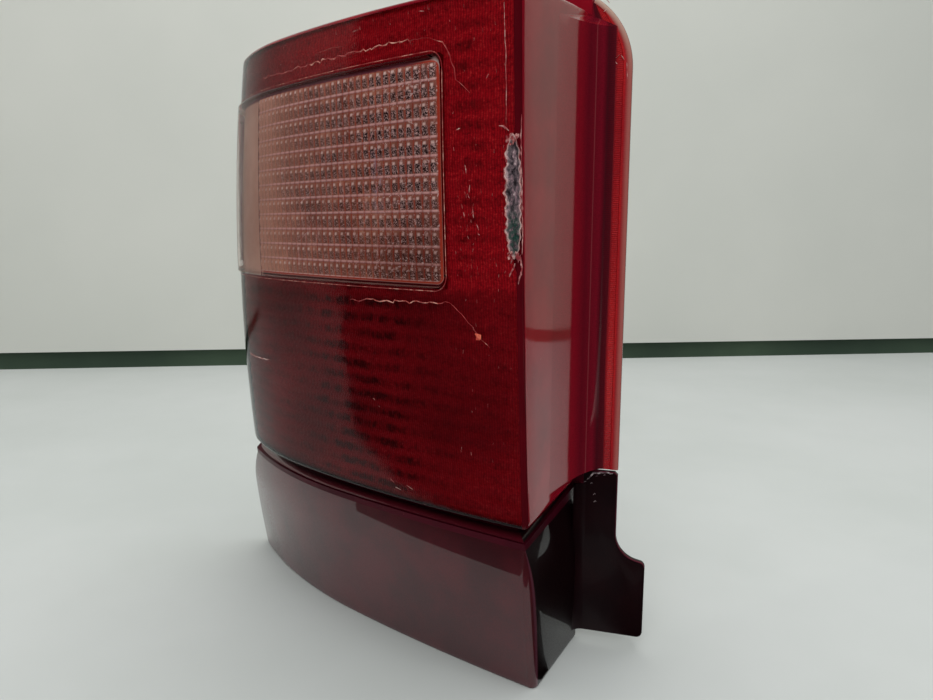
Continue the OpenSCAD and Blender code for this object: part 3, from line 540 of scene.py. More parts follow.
def window_optics():
    """The window's pillows, each with a pale line under it, a dark middle and a bright spot, painted
    highlight and painted shade of the lamp's inside; and its rim.
    """
    m = Nodes("window_optics")
    s, z = m.ways()
    where = m.place()
    u = m.over(m.minus(s, WINDOW_S0 + WINDOW_RIM), PILLOW_W)
    v = m.over(m.minus(z, ROWS_FOOT), PILLOW_H)
    fu, fv = m.fract(u), m.fract(v)
    in_field = m.times(band(m, u, 0.0, PILLOW_COLUMNS, 0.04), band(m, v, 0.0, PILLOW_ROWS, 0.03))
    across = off_centre(m, fu)
    cell = m.vector(m.math("FLOOR", u), m.math("FLOOR", v))
    chance = m.node("TexWhiteNoise", {0: cell}, noise_dimensions="3D").outputs[0]
    cloud = m.noise(where, 26.0, 3.0, 0.6)
    shade = m.plus(m.level(cloud, 0.3, 0.62, 0.45, 1.0), m.times(chance, 0.25))
    # The dark middles fade towards the outer end and the bottom: a painted reflection of the pale room over
    # them.
    right = m.level(s, 62.0, 130.0, 1.0, 0.72)
    upper = m.level(z, 208.0, 250.0, 0.72, 1.0)
    fade = m.times(m.times(right, upper), m.level(s, 118.0, 172.0, 1.0, 0.3))
    # The dark middles are painted shade: the lamp's dark inside as each pillow shows it.
    core = m.times(m.fall(across, 0.27, 0.42), band(m, fv, 0.1, 0.62, 0.09))
    core = m.times(m.times(core, shade), m.times(fade, 0.94), clamp=True)
    pink = m.ramp(
        m.noise(where, 60.0, 4.0, 0.6),
        [(0.28, (146, 88, 74)), (0.5, (184, 120, 100)), (0.75, (220, 156, 130))],
    )
    # Darker towards the inner end and paler towards the outer end: painted reflection of the pale room.
    pink = m.mix(m.level(s, 40.0, 90.0, 0.45, 0.0), pink, (140, 84, 82))
    pink = m.mix(m.level(s, 120.0, 180.0, 0.0, 0.75), pink, (240, 186, 160))
    # The red lines between the columns are a painted reflection of the red lens.
    joint = m.times(m.level(across, 0.4, 0.5), m.level(s, 120.0, 180.0, 0.8, 0.3))
    base = m.mix(joint, pink, (196, 64, 46))
    grit = m.noise(where, 1500.0, 2.0, 0.7)
    middle = m.mix(m.level(grit, 0.46, 0.68), (52, 38, 40), (236, 204, 204))
    base = m.mix(core, base, middle)
    # The bright spots are painted highlights.
    spot = m.times(m.fall(across, 0.08, 0.26), band(m, fv, 0.62, 0.78, 0.05))
    base = m.mix(m.times(spot, m.level(chance, 0.0, 0.6, 0.45, 1.0)), base, (255, 236, 230))
    # The pale lines on the ledges between the rows are painted highlights.
    line = m.math("ABSOLUTE", m.minus(m.fract(m.plus(v, 0.5)), 0.5))
    line = m.times(m.fall(line, 0.045, 0.1), m.level(across, 0.22, 0.5, 1.0, 0.4))
    base = m.mix(m.times(line, 0.95), base, (255, 214, 212))
    streaky = m.noise(m.scaled(where, (1.0, 1.0, 0.16)), 900.0, 3.0, 0.7)
    base = m.mix(m.level(streaky, 0.58, 0.72, 0.0, 0.55), base, (226, 176, 170))
    base = m.mix(m.level(streaky, 0.28, 0.42, 0.5, 0.0), base, (96, 34, 34))
    # A darker band under each ledge: painted shade.
    under = band(m, fv, 0.9, 0.97, 0.03)
    base = m.mix(m.times(under, 0.45), base, (150, 52, 52))
    smear = m.times(band(m, s, 74.0, 78.5, 2.0), band(m, z, 232.0, 256.0, 7.0))
    drawn_out = m.noise(m.scaled(where, (1, 1, 0.35)), 330.0, 3.0, 0.6)
    smear = m.times(smear, m.level(drawn_out, 0.45, 0.6))
    base = m.mix(m.times(smear, 0.6), base, (206, 196, 226))
    inside, corner = window_rim(m, s, z)
    in_field = m.times(in_field, m.level(inside, 2.4, 2.8))
    # Darker towards the lower inner corner, painted shade; paler again towards the outer end, painted
    # reflection.
    low_right = m.times(m.level(s, 60.0, 110.0, 0.6, 0.0), m.fall(z, 206.0, 236.0))
    base = m.mix(low_right, base, m.mix(0.8, base, (150, 96, 76), "MULTIPLY"))
    base = m.mix(m.level(s, 150.0, 181.0, 0.0, 0.55), base, (226, 176, 158))
    # Pale sparkles on the pillows: painted highlights.
    painted_sparkle = m.level(m.noise(where, 700.0, 2.0, 0.8), 0.58, 0.66)
    painted_sparkle = m.times(painted_sparkle, m.level(s, 60.0, 120.0, 0.75, 0.2))
    base = m.mix(m.times(painted_sparkle, upper), base, (255, 232, 230))
    rim = m.ramp(
        m.over(inside, 3.4),
        [
            (0.0, (120, 44, 48)), (0.10, (214, 150, 140)), (0.2, (92, 20, 30)), (0.42, (84, 18, 28)),
            (0.5, (226, 150, 142)), (0.6, (206, 78, 56)), (1.0, (196, 66, 48)),
        ], smooth=False,
    )
    # The rim turns pale at the outer end: a painted reflection of the pale room.
    plain_rim = m.ramp(cloud, [(0.3, (222, 176, 158)), (0.7, (244, 204, 186))])
    plain_rim = m.mix(band(m, s, 180.9, 182.2, 0.3), plain_rim, (130, 34, 38))
    plain_rim = m.mix(m.fall(s, 176.0, 183.0), plain_rim, rim)
    top = m.times(m.level(z, 289.5, 291.0), m.level(s, 44.0, 60.0))
    top_rim = m.mix(m.fall(inside, 0.4, 1.6), (128, 70, 84), (96, 26, 40))
    plain_rim = m.mix(top, plain_rim, top_rim)
    # A painted highlight on the rim's upper inner corner.
    glint = m.times(corner, band(m, inside, 0.7, 2.0, 0.4))
    plain_rim = m.mix(m.times(glint, 0.9), plain_rim, (255, 240, 238))
    base = m.mix(in_field, plain_rim, base)
    return m.finish(m.principled(Base_Color=base, Roughness=0.22, IOR=1.5, Normal=m.bump(grit, 0.25, 0.0003)))


def panel_paint(name, coat, light, dark, painted_light=False):
    """Dark maroon metallic paint under clear coat; on request, painted highlights along the top and inner
    corner roundings and painted shade on the side wall and ledge.
    """
    m = Nodes(name)
    where = m.place()
    flake = m.node("TexVoronoi", {"Vector": where, "Scale": 2600.0}, feature="F1").outputs["Color"]
    tone = m.mix(m.level(m.noise(where, 30.0, 3.0), 0.3, 0.7), light, dark)
    tone = m.mix(0.16, tone, flake, "OVERLAY")
    if painted_light:
        s, z = m.ways()
        # Painted shade: darker on the side wall.
        tone = m.mix(m.level(s, -7.0, -3.0, 0.75, 0.0), tone, (30, 4, 10))
        # Painted highlight along the top rounding.
        painted_edge_highlight = m.times(band(m, z, 77.6, 80.2, 0.8), m.level(s, 60.0, 230.0, 1.0, 0.5))
        tone = m.mix(m.times(painted_edge_highlight, m.level(s, -2.0, 2.0)), tone, (112, 12, 34))
        # Painted shade on the ledge under the lens.
        tone = m.mix(m.level(z, 80.4, 82.0), tone, (30, 4, 10))
        # Painted highlight: a pale line down the inner corner's rounding.
        painted_edge_highlight = m.times(band(m, s, -2.9, -1.6, 0.5), m.level(z, 77.0, 80.0, 0.4, 0.0))
        tone = m.mix(painted_edge_highlight, tone, (132, 76, 96))
    normal = m.bump(m.noise(where, 260.0, 2.0), 0.06, 0.0004)
    rough = m.level(m.noise(where, 1800.0, 1.0), 0.2, 0.8, 0.4, 0.55)
    clear_coat = {"Coat_Weight": coat, "Coat_Roughness": 0.03, "Coat_IOR": 1.53}
    paint = m.principled(Base_Color=tone, Metallic=0.45, Roughness=rough, Normal=normal, **clear_coat)
    return m.finish(paint)


def fracture():
    """Broken plastic with grit in it: dark grey, with a green patch, pale flecks and pinkish edges."""
    m = Nodes("lens_fracture")
    _, z = m.ways()
    where = m.place()
    rim = m.node("Attribute", attribute_name="rim").outputs["Fac"]
    coarse = m.noise(m.scaled(where, (1.0, 1.0, 0.55)), 520.0, 4.0, 0.7)
    base = m.ramp(
        coarse,
        [
            (0.32, (22, 18, 20)), (0.42, (70, 58, 64)), (0.5, (112, 96, 100)),
            (0.58, (150, 118, 126)), (0.72, (232, 214, 208)),
        ],
    )
    green = m.times(band(m, z, 212.0, 228.0, 5.0), m.level(m.noise(where, 500.0, 2.0), 0.4, 0.55))
    base = m.mix(m.times(green, 0.75), base, (22, 74, 62))
    pinkish = m.mix(m.noise(where, 800.0, 2.0), (214, 150, 148), (244, 214, 204))
    base = m.mix(m.times(rim, m.level(coarse, 0.35, 0.6, 0.5, 1.0)), base, pinkish)
    normal = m.bump(m.noise(where, 900.0, 4.0, 0.7), 0.9, 0.0006)
    return m.finish(m.principled(Base_Color=base, Roughness=0.45, IOR=1.5, Normal=normal))


def scratch(name, light, dark, roughness=0.5, hidden=0.0, under=(150, 16, 30)):
    """Raised or whitened edges of a crack or scratch; a share of them is as clear as the lens under them."""
    m = Nodes(name)
    where = m.place()
    base = m.mix(m.level(m.noise(where, 420.0, 3.0, 0.6), 0.35, 0.62), light, dark)
    patch = m.level(m.noise(where, 95.0, 2.0, 0.6), 0.42, 0.56)
    base = m.mix(m.times(patch, hidden), base, under)
    normal = m.bump(m.noise(where, 1500.0, 2.0), 0.5, 0.0003)
    return m.finish(m.principled(Base_Color=base, Roughness=roughness, Normal=normal))


def plain(name, colour, other, roughness, metallic=0.0, grain=900.0, bump=0.2, **more):
    """One material all over, a little patchy and grained."""
    m = Nodes(name)
    where = m.place()
    base = m.mix(m.level(m.noise(where, 40.0, 4.0, 0.6), 0.3, 0.7), colour, other)
    rough = m.level(m.noise(where, 120.0, 3.0), 0.3, 0.7, roughness, roughness + 0.15)
    normal = m.bump(m.noise(where, grain, 3.0), bump, 0.0004)
    return m.finish(m.principled(Base_Color=base, Roughness=rough, Metallic=metallic, Normal=normal, **more))


LENS_CLEAR = see_through("lens_clear_red", (0.91, 0.50, 0.54, 1.0), 0.05, 1.5, 0.10)
LENS_SOLID = solid_red("lens_solid_red", (140, 16, 32), (112, 12, 26))
LENS_INNER = red_optics()
WINDOW_CLEAR = see_through("window_clear_pink", (0.97, 0.90, 0.88, 1.0), 0.05, 1.5, 0.12)
WINDOW_INNER = window_optics()
# The corner and foot reds are darker copies of the lens red: painted shade on the inner corner's rounding and
# on the downward-facing bottom rounding.
LENS_CORNER_SHADE = solid_red("lens_corner_shade_red", (84, 6, 16), (64, 6, 14), 0.1, 1.25)
LENS_FOOT_SHADE = solid_red("lens_foot_shade_red", (30, 4, 9), (20, 3, 7), 0.15, 1.2)
PAINT = panel_paint("panel_paint", 1.0, (92, 13, 28), (70, 9, 22), True)
# The shaded and side paints are darker copies of the panel paint: painted shade.
PAINT_SHADED = panel_paint("panel_paint_shaded", 0.05, (38, 5, 12), (28, 4, 10))
PAINT_SIDE_SHADE = panel_paint("panel_paint_side_shade", 0.5, (34, 5, 11), (26, 4, 9))
PAINT_GAP = solid_red("panel_paint_gap", (74, 9, 26), (50, 6, 18), 0.3, 1.15)
# The rim paint is a paler copy of the panel paint: a painted highlight.
PAINT_RIM_HIGHLIGHT = panel_paint("panel_paint_rim_highlight", 1.0, (120, 40, 60), (84, 20, 38))
BREAK = fracture()
BREAK_EDGE = scratch("lens_break_edge", (212, 158, 152), (140, 50, 56), hidden=0.4)
CRACK = scratch("lens_crack", (226, 160, 144), (164, 52, 46), hidden=0.85)
CHIP = scratch("lens_chip", (226, 112, 84), (196, 60, 44))
WHITENED = scratch("lens_whitened", (232, 196, 186), (176, 84, 84), hidden=0.5)
HAIRLINE = scratch("lens_hairline", (236, 196, 190), (176, 96, 96), 0.35, 0.6, (180, 104, 92))
RESIDUE = scratch("panel_residue", (186, 172, 172), (84, 58, 66), 0.6)
BLACK = plain("black_plastic_moulded", (38, 38, 41), (28, 28, 31), 0.48, grain=1400.0, bump=0.35)
FOAM = plain("foam_black", (30, 30, 32), (20, 20, 22), 0.85, grain=2200.0, bump=0.9)
RUBBER = plain("rubber_black", (34, 34, 36), (24, 24, 26), 0.6, grain=900.0)
STEEL = plain("steel_zinc", (176, 178, 176), (150, 148, 138), 0.3, 1.0, grain=1600.0)
BRASS = plain("brass_contact", (196, 164, 96), (160, 128, 70), 0.28, 1.0, grain=1500.0)
SILVER = plain("reflector_metallised", (208, 210, 212), (196, 198, 200), 0.08, 1.0, 300.0, 0.05)
GLASSY = {"Transmission_Weight": 1.0, "IOR": 1.5}
GLASS = plain("bulb_glass_clear", (0.95, 0.95, 0.95, 1), (0.9, 0.9, 0.9, 1), 0.03, **GLASSY)
AMBER = plain("bulb_glass_amber", (0.95, 0.42, 0.05, 1), (0.9, 0.36, 0.04, 1), 0.03, **GLASSY)

# The red lens
EDGE_R, INNER_DEPTH, INNER_LIFT, FLUTE_DEPTH = 2.0, LENS_WALL - 0.4, 0.8, 0.55
LENS_CORNER_R, LENS_END_R, LENS_END_GAP = 2.2, 1.5, 3.0
# The clear front's lower and upper margins, and half the width of the strip at the inner corner
FOOT_MARGIN, HEAD_MARGIN, CORNER_HALF = 2.3, 2.1, 3.3
# The knock on the inner corner: middle and half width, middle and half height, and how deep the skin sinks
KNOCK_S, KNOCK_W, KNOCK_Z, KNOCK_HALF, KNOCK_DEPTH = 2.9, 4.4, 232.4, 27.0, 2.5
# Marks the rows and columns that are no part of the front
BEYOND = 1e3


def lens_rear_z(z):
    """Height on the rim of the ring that is at z on the front."""
    return TUB_BOTTOM + (TUB_TOP - TUB_BOTTOM) * (z - LENS_BOTTOM) / (LENS_TOP - LENS_BOTTOM)


def lens_heading(s, z):
    return float(front_curve(LENS_HEADINGS, LENS_RADII, s)[2]) + float(lens_turn(z))


lens_wrap = Wrap(lens, LENS_LEN, RIM_IN, RIM_OUT, lens_rear_z, LENS_CORNER_R, LENS_END_R, lens_heading)
OPEN_S0, OPEN_S1, OPEN_Z0, OPEN_Z1 = WINDOW_S0 - 0.1, WINDOW_S1 + 0.1, WINDOW_Z0 - 0.1, WINDOW_Z1 + 0.1
OPEN_R, CORNER_CELLS = WINDOW_R + 0.1, 6
CELLS = [OPEN_R * k / CORNER_CELLS for k in range(CORNER_CELLS)]


def lens_columns():
    columns = [3.2, 4.0, 4.8, 5.6, 6.4, 7.2, 8.0, 9.0, 10.5] + steps(12.0, OPEN_S0, 2.6)
    columns += [OPEN_S0 + c for c in CELLS]
    columns += steps(OPEN_S0 + OPEN_R, OPEN_S1 - OPEN_R, 2.6)
    columns += [OPEN_S1 - OPEN_R + c for c in CELLS]
    last = LENS_LEN - LENS_END_GAP
    return columns + steps(OPEN_S1, last, 1.6) + [last]


def lens_rows():
    """Rows as (height at the corner, share of the climb, inset)."""
    turns = [(1 - math.sin(a), 1 - math.cos(a)) for a in np.radians([90, 67, 45, 22])]
    rows = [(LENS_BOTTOM + EDGE_R * down, 0.0, EDGE_R * back) for down, back in turns]
    size = PILLOW_H / 5
    heights = steps(LENS_BOTTOM + EDGE_R, OPEN_Z0, size) + [OPEN_Z0 + c for c in CELLS]
    heights += steps(OPEN_Z0 + OPEN_R, OPEN_Z1 - OPEN_R, size) + [OPEN_Z1 - OPEN_R + c for c in CELLS]
    rows += [(h, 0.0, 0.0) for h in heights]
    last = LENS_TOP - EDGE_R
    rows += [(h, (h - OPEN_Z1) / (last - OPEN_Z1), 0.0) for h in steps(OPEN_Z1, last, size) + [last]]
    return rows + [(last + EDGE_R * (1 - down), 1.0, EDGE_R * back) for down, back in reversed(turns)]


def knock_mask(s, z):
    """How deep the knock on the lens's inner corner goes, from 0 to 1."""
    ragged = 1.3 * np.sin(z * 0.55) + 0.8 * np.sin(z * 1.37 + 1.0) + 0.5 * np.sin(z * 2.9 + s)
    reach = ((s - KNOCK_S) / (KNOCK_W + 0.3 * ragged)) ** 2 + (np.abs(z - KNOCK_Z) / KNOCK_HALF) ** 4
    return np.clip((1.0 - reach) / 0.35, 0, 1)


def lens_rings(columns, rows):
    """Outer rings with the knock sunk in, inner rings with level flutes, and the ways of the outer ones."""
    outer, inner, uv = [], [], []
    low, high = LENS_BOTTOM + INNER_LIFT, LENS_TOP - INNER_LIFT
    for z, climb, inset in rows:
        slope = climb * LENS_CLIMB
        points, way = lens_wrap.ring(z, slope, inset, columns)
        outer.append(points)
        uv.append([(w, z) for w in way])
        zi = low + (z - LENS_BOTTOM) / (LENS_TOP - LENS_BOTTOM) * (high - low)
        phase = (zi - ROWS_FOOT) / PILLOW_H
        flute = FLUTE_DEPTH * (0.5 - 0.5 * math.cos(2 * math.pi * phase))
        inner.append(lens_wrap.ring(zi, slope, INNER_DEPTH, columns, relief=-flute)[0])
    outer, inner, uv = np.array(outer), np.array(inner), np.array(uv)
    sunk = (KNOCK_DEPTH * knock_mask(uv[..., 0], uv[..., 1]))[..., None] * np.array([-0.62, 0.78, 0.0])
    return outer + sunk, inner, uv


def in_opening(at, low, high):
    """Which of the cells between neighbouring places lie in the opening."""
    near = 0.01
    return (at[:-1] >= low - near) & (at[1:] <= high + near)


def opening_corners(points, points_in, uv, col_s, row_z):
    """Round the opening's four corners: adds their points to the lists and gives the faces."""
    faces, n, arc_steps = [], len(col_s), 2 * CORNER_CELLS
    columns_at = {round(v, 4): i for i, v in enumerate(col_s)}
    rows_at = {round(v, 4): j for j, v in enumerate(row_z)}
    sides, ends = ((OPEN_S0, 1), (OPEN_S1, -1)), ((OPEN_Z0, 1), (OPEN_Z1, -1))
    for (s, ds), (z, dz) in itertools.product(sides, ends):
        i0, j0 = columns_at[round(s, 4)], rows_at[round(z, 4)]
        edge = [(j0 + dz * (CORNER_CELLS - k)) * n + i0 for k in range(CORNER_CELLS)]
        edge += [j0 * n + i0 + ds * k for k in range(CORNER_CELLS + 1)]
        arc = [edge[0]]
        for k in range(1, arc_steps):
            a = math.pi / 2 * k / arc_steps
            sa, za = s + ds * OPEN_R * (1 - math.cos(a)), z + dz * OPEN_R * (1 - math.sin(a))
            arc.append(len(points))
            points.append(tuple(lens(sa, za)))
            points_in.append(tuple(lens(sa, za, INNER_DEPTH)))
            uv.append((sa, za))
        arc.append(edge[-1])
        for k in range(arc_steps):
            quad = (edge[k], edge[k + 1], arc[k + 1], arc[k])
            faces.append(quad if ds * dz > 0 else quad[::-1])
    return faces


def lens_face_slot(s, z):
    """0 clear front, 1 solid, 3 inner corner and 4 foot, both in painted shade: numbers of build_lens's
    materials.
    """
    foot = LENS_BOTTOM + FOOT_MARGIN
    if CORNER_WAY < s < LENS_LEN - LENS_END_GAP and foot < z < LENS_TOP - HEAD_MARGIN:
        return 0
    if abs(s) <= CORNER_HALF:
        return 3
    return 4 if z <= foot and s > 0 else 1


def build_lens():
    columns, rows = lens_columns(), lens_rows()
    outer, inner, uv = lens_rings(columns, rows)
    # Top and bottom walls run back to the rim
    bottom, top = rim_rows(columns, RIM_IN, RIM_OUT, (TUB_BOTTOM, TUB_TOP))
    bottom_in, top_in = rim_rows(columns, RIM_IN, RIM_OUT, (TUB_BOTTOM + LENS_WALL, TUB_TOP - LENS_WALL))
    bottom[0], top[0], bottom[-1], top[-1] = outer[0][0], outer[-1][0], outer[0][-1], outer[-1][-1]
    outer = np.concatenate([bottom[None], outer, top[None]])
    inner = np.concatenate([bottom_in[None], inner, top_in[None]])
    n = outer.shape[1]
    below, above = (np.column_stack([uv[0][:, 0], np.full(n, z)])[None] for z in (60.0, 350.0))
    uv = [tuple(t) for t in np.concatenate([below, uv, above]).reshape(-1, 2)]
    col_s = np.array([-1.0] * FRONT_FIRST + columns + [BEYOND] * (n - FRONT_FIRST - len(columns)))
    row_z = np.array([0.0] * 5 + [row[0] for row in rows[4:]] + [BEYOND])
    opening = in_opening(row_z, OPEN_Z0, OPEN_Z1)[:, None] & in_opening(col_s, OPEN_S0, OPEN_S1)[None, :]
    points, points_in = ([tuple(p) for p in stack.reshape(-1, 3)] for stack in (outer, inner))
    faces = grid_faces(len(outer), n, ~opening) + opening_corners(points, points_in, uv, col_s, row_z)
    faces = clean(faces)
    back, walls = close_shell(faces, len(points))
    slots = [lens_face_slot(*np.mean([uv[v] for v in f], 0)) for f in faces]
    slots += [2] * len(back) + [1] * len(walls)
    return add_piece(
        "lens_red", points + points_in, faces + back + walls,
        [LENS_CLEAR, LENS_SOLID, LENS_INNER, LENS_CORNER_SHADE, LENS_FOOT_SHADE], slots, uv + uv,
        stands_for=("red_lens",),
    )


build_lens()


# The lens's flange
OUTLINE_STEP, FLANGE_WIDTH = 0.25, 17.0


def flange_outline():
    """Outer edge of the flange, up its side and round its top: x, z and the way in."""
    cx, cz = FLANGE_EDGE_X - FLANGE_R, FLANGE_HIGH - FLANGE_R
    out = [(FLANGE_EDGE_X, z, -1.0, 0.0) for z in np.arange(FLANGE_LOW, cz, OUTLINE_STEP)]
    top = math.acos((RIM_IN[0] + 1.0 - cx) / FLANGE_R)
    for a in np.linspace(0, top, 150):
        out.append((cx + FLANGE_R * math.cos(a), cz + FLANGE_R * math.sin(a), -math.cos(a), -math.sin(a)))
    return out


def tube_faces(rows, count):
    """Faces of a closed tube through rows of count points, with both ends capped."""
    faces = []
    for j in range(rows - 1):
        for i in range(count):
            a, b = j * count + i, j * count + (i + 1) % count
            faces.append((a, b, b + count, a + count))
    return faces + [tuple(range(count - 1, -1, -1)), tuple((rows - 1) * count + i for i in range(count))]


def build_flange():
    outline = flange_outline()
    r = 1.3
    profile = [(0.0, FLANGE_T), (0.0, r)]
    profile += [(r * (1 - math.cos(a)), r * (1 - math.sin(a))) for a in np.radians([22, 45, 67, 90])]
    profile += [(2.6, 0.0), (4.0, 0.05), (4.4, 0.35), (8.2, 0.35), (8.6, 0.0), (12.0, 0.0)]
    profile.append((FLANGE_WIDTH, 0.0))
    points, uv = [], []
    for k, (x, z, dx, dz) in enumerate(outline):
        way = k * OUTLINE_STEP
        limit = (x - (RIM_IN[0] - 1.5)) / max(0.2, -dx) if dx < -0.05 else 6.0
        rib = 0.5 - 0.5 * math.cos(2 * math.pi * way)
        for d, depth in profile:
            if d > 3:
                into = d * min(1.0, limit / FLANGE_WIDTH)
            else:
                into = min(d, limit * 0.2 if limit < 3 else d)
            # The strip's ribs run across it
            if 4.2 < d < 8.4:
                depth = depth + 0.22 * rib
            points.append((x + dx * into, FLANGE_Y + depth, z + dz * into))
            uv.append((d, way))
        last = min(FLANGE_WIDTH, limit)
        points.append((x + dx * last, FLANGE_Y + FLANGE_T, z + dz * last))
        uv.append((18.0, way))
    faces = tube_faces(len(outline), len(profile) + 1)
    slots = [1 if len(f) == 4 else 0 for f in faces]
    return add_piece("lens_flange", points, clean(faces), [LENS_SOLID, FLANGE_STRIP], slots, uv)


def flange_strip():
    """The flange's face: pale edge, bright ribbed strip, dark band, crimson land and a pale line; the pale
    edge is a painted reflection, the dark band and the darkened ribs painted shade.
    """
    m = Nodes("flange_ribbed")
    d, way = m.ways()
    where = m.place()
    cloud = m.noise(m.scaled(where, (1.0, 1.0, 0.22)), 60.0, 3.0)
    fine = m.noise(m.scaled(where, (1.0, 1.0, 3.0)), 620.0, 3.0, 0.6)
    # The dark band in this ramp is painted shade.
    base = m.ramp(
        m.over(m.times_plus(cloud, 1.6, d), 25.0),
        [
            (0.0, (140, 18, 34)), (0.30, (176, 30, 36)), (0.36, (78, 14, 24)),
            (0.48, (66, 12, 22)), (0.56, (112, 16, 32)), (0.68, (104, 15, 29)),
            (0.76, (96, 13, 27)), (0.88, (128, 15, 30)),
        ], smooth=False,
    )
    strip = m.times(m.level(d, 2.8, 3.6), m.fall(d, 6.2, 8.0))
    bright = m.mix(m.level(cloud, 0.3, 0.7), (196, 36, 38), (160, 22, 30))
    base = m.mix(strip, base, bright)
    rib = off_centre(m, m.fract(way))
    # Darker lines on the ribs: painted shade between them.
    ribbed = m.times(m.level(rib, 0.25, 0.5, 0.0, 0.5), m.level(d, 8.6, 12.5, 1.0, 0.25))
    base = m.mix(m.times(ribbed, m.level(d, 4.0, 4.5)), base, (96, 10, 20))
    base = m.mix(m.level(fine, 0.4, 0.7, 0.0, 0.25), base, (60, 8, 16))
    base = m.mix(m.times(band(m, d, 15.7, 16.0, 0.2), 0.16), base, (190, 110, 112))
    # The pale edge, paler higher up and dimmer at its very rim, is a painted reflection of the pale room.
    pale = m.mix(m.level(way, 188.0, 235.0), (164, 88, 82), (182, 150, 134))
    base = m.mix(m.fall(d, 1.0, 3.4), base, pale)
    base = m.mix(m.level(d, 0.0, 0.4, 0.6, 0.0), base, (90, 50, 48))
    on_strip = m.level(d, 8.0, 13.0, 1.0, 0.03)
    normal = m.bump(m.times(m.times_plus(fine, 0.3, rib), on_strip), 0.25, 0.0004)
    rough = m.level(d, 8.0, 14.0, 0.18, 0.05)
    return m.finish(m.principled(Base_Color=base, Roughness=rough, IOR=1.42, Normal=normal))


FLANGE_STRIP = flange_strip()
build_flange()


def strip_piece(name, rows, material, uv=None):
    """A closed tube through rows of points."""
    points = [p for row in rows for p in row]
    return add_piece(name, points, tube_faces(len(rows), len(rows[0])), [material], uv=uv)


def hollow_rows(base, width, depth, low, high_of, run_out=0.0, count=17):
    """Hollow curve from a drafted side wall to the flange: rows from wall to flange, and their ways."""
    levels = 44
    rows, uv = [], []
    high = high_of(FLANGE_Y)
    face_x = side_x(FLANGE_Y, base)
    for j in range(levels + 1):
        t = j / levels
        level = low + (high - low) * t
        past = 0.0 if run_out == 0 else max(0.0, (level - (high - run_out)) / run_out)
        share = max(0.06, math.sqrt(max(0.0, 1.0 - past * past)))
        row = []
        for k in range(count):
            a = math.pi / 2 * (1 - k / (count - 1))
            drafted = (SIDE_DRAFT * depth + 0.15) * (1 - math.cos(a))
            x = face_x + share * (width * (1 - math.sin(a)) - drafted)
            y = FLANGE_Y + share * depth * (math.cos(a) - 1)
            if k == count - 1:
                y += 0.02
            row.append((x, y, low + (high_of(y) - low) * t))
            uv.append((FLANGE_EDGE_X - x, level))
        x, y = side_x(FLANGE_Y + 1, base) - 1.0, FLANGE_Y + 1.0
        row.append((x, y, low + (high_of(y) - low) * t))
        uv.append((20.0, level))
        rows.append(row)
    return rows, uv


def lens_side_top(y):
    return LENS_TOP + (TUB_TOP - LENS_TOP) * (y + 36.0) / 90.0 - 2.2


hollow, hollow_ways = hollow_rows(LENS_SIDE_X, 12.0, 52.0, FLANGE_LOW + 0.2, lens_side_top, 6.0, 25)
strip_piece("lens_hollow", hollow, FLANGE_STRIP, hollow_ways)


def build_top_flange():
    """The flange's run along the top, behind the lens."""
    slant = RIM_OUT - RIM_IN
    slant = slant / np.linalg.norm(slant)
    normal = np.array([slant[1], -slant[0]])
    if normal[1] > 0:
        normal = -normal
    cz = FLANGE_HIGH - FLANGE_R
    peak = RIM_IN[0] - (FLANGE_EDGE_X - FLANGE_R)
    level_end, drop, r, low = 165.0, 9.0, 1.0, TUB_TOP - LENS_WALL
    ways = [*(np.linspace(0, 1, 12) * peak), *np.linspace(peak + 4, level_end, 40), 168.0, 171.0, 172.5]
    rows = []
    for t in ways:
        if t <= peak:
            top = cz + math.sqrt(FLANGE_R**2 - (peak - t) ** 2)
        elif t <= level_end:
            top = FLANGE_HIGH - drop * (t - peak) / (level_end - peak)
        else:
            top = FLANGE_HIGH - drop - (t - level_end) / 8 * 5.5
        p = RIM_IN + slant * t + normal * 0.6
        q = p + normal * FLANGE_T
        rounding = np.radians([30, 60, 90])
        turns = [(normal * r * (1 - math.cos(a)), top - r + r * math.sin(a)) for a in rounding]
        row = [(*p, low), (*p, top - r)] + [(*(p + into), high) for into, high in turns]
        row += [(*(q - into), high) for into, high in reversed(turns)]
        rows.append(row + [(*q, top - r), (*q, low)])
    strip_piece("lens_top_flange", rows, LENS_SOLID)


build_top_flange()


# The clear window
def window_inside(s, z):
    """How far a point lies inside the window's rounded outline."""
    sc, zc = (WINDOW_S0 + WINDOW_S1) / 2, (WINDOW_Z0 + WINDOW_Z1) / 2
    qx = np.abs(s - sc) - ((WINDOW_S1 - WINDOW_S0) / 2 - WINDOW_R)
    qz = np.abs(z - zc) - ((WINDOW_Z1 - WINDOW_Z0) / 2 - WINDOW_R)
    outside = np.hypot(np.maximum(qx, 0), np.maximum(qz, 0)) + np.minimum(np.maximum(qx, qz), 0)
    return np.maximum(WINDOW_R - outside, 0)


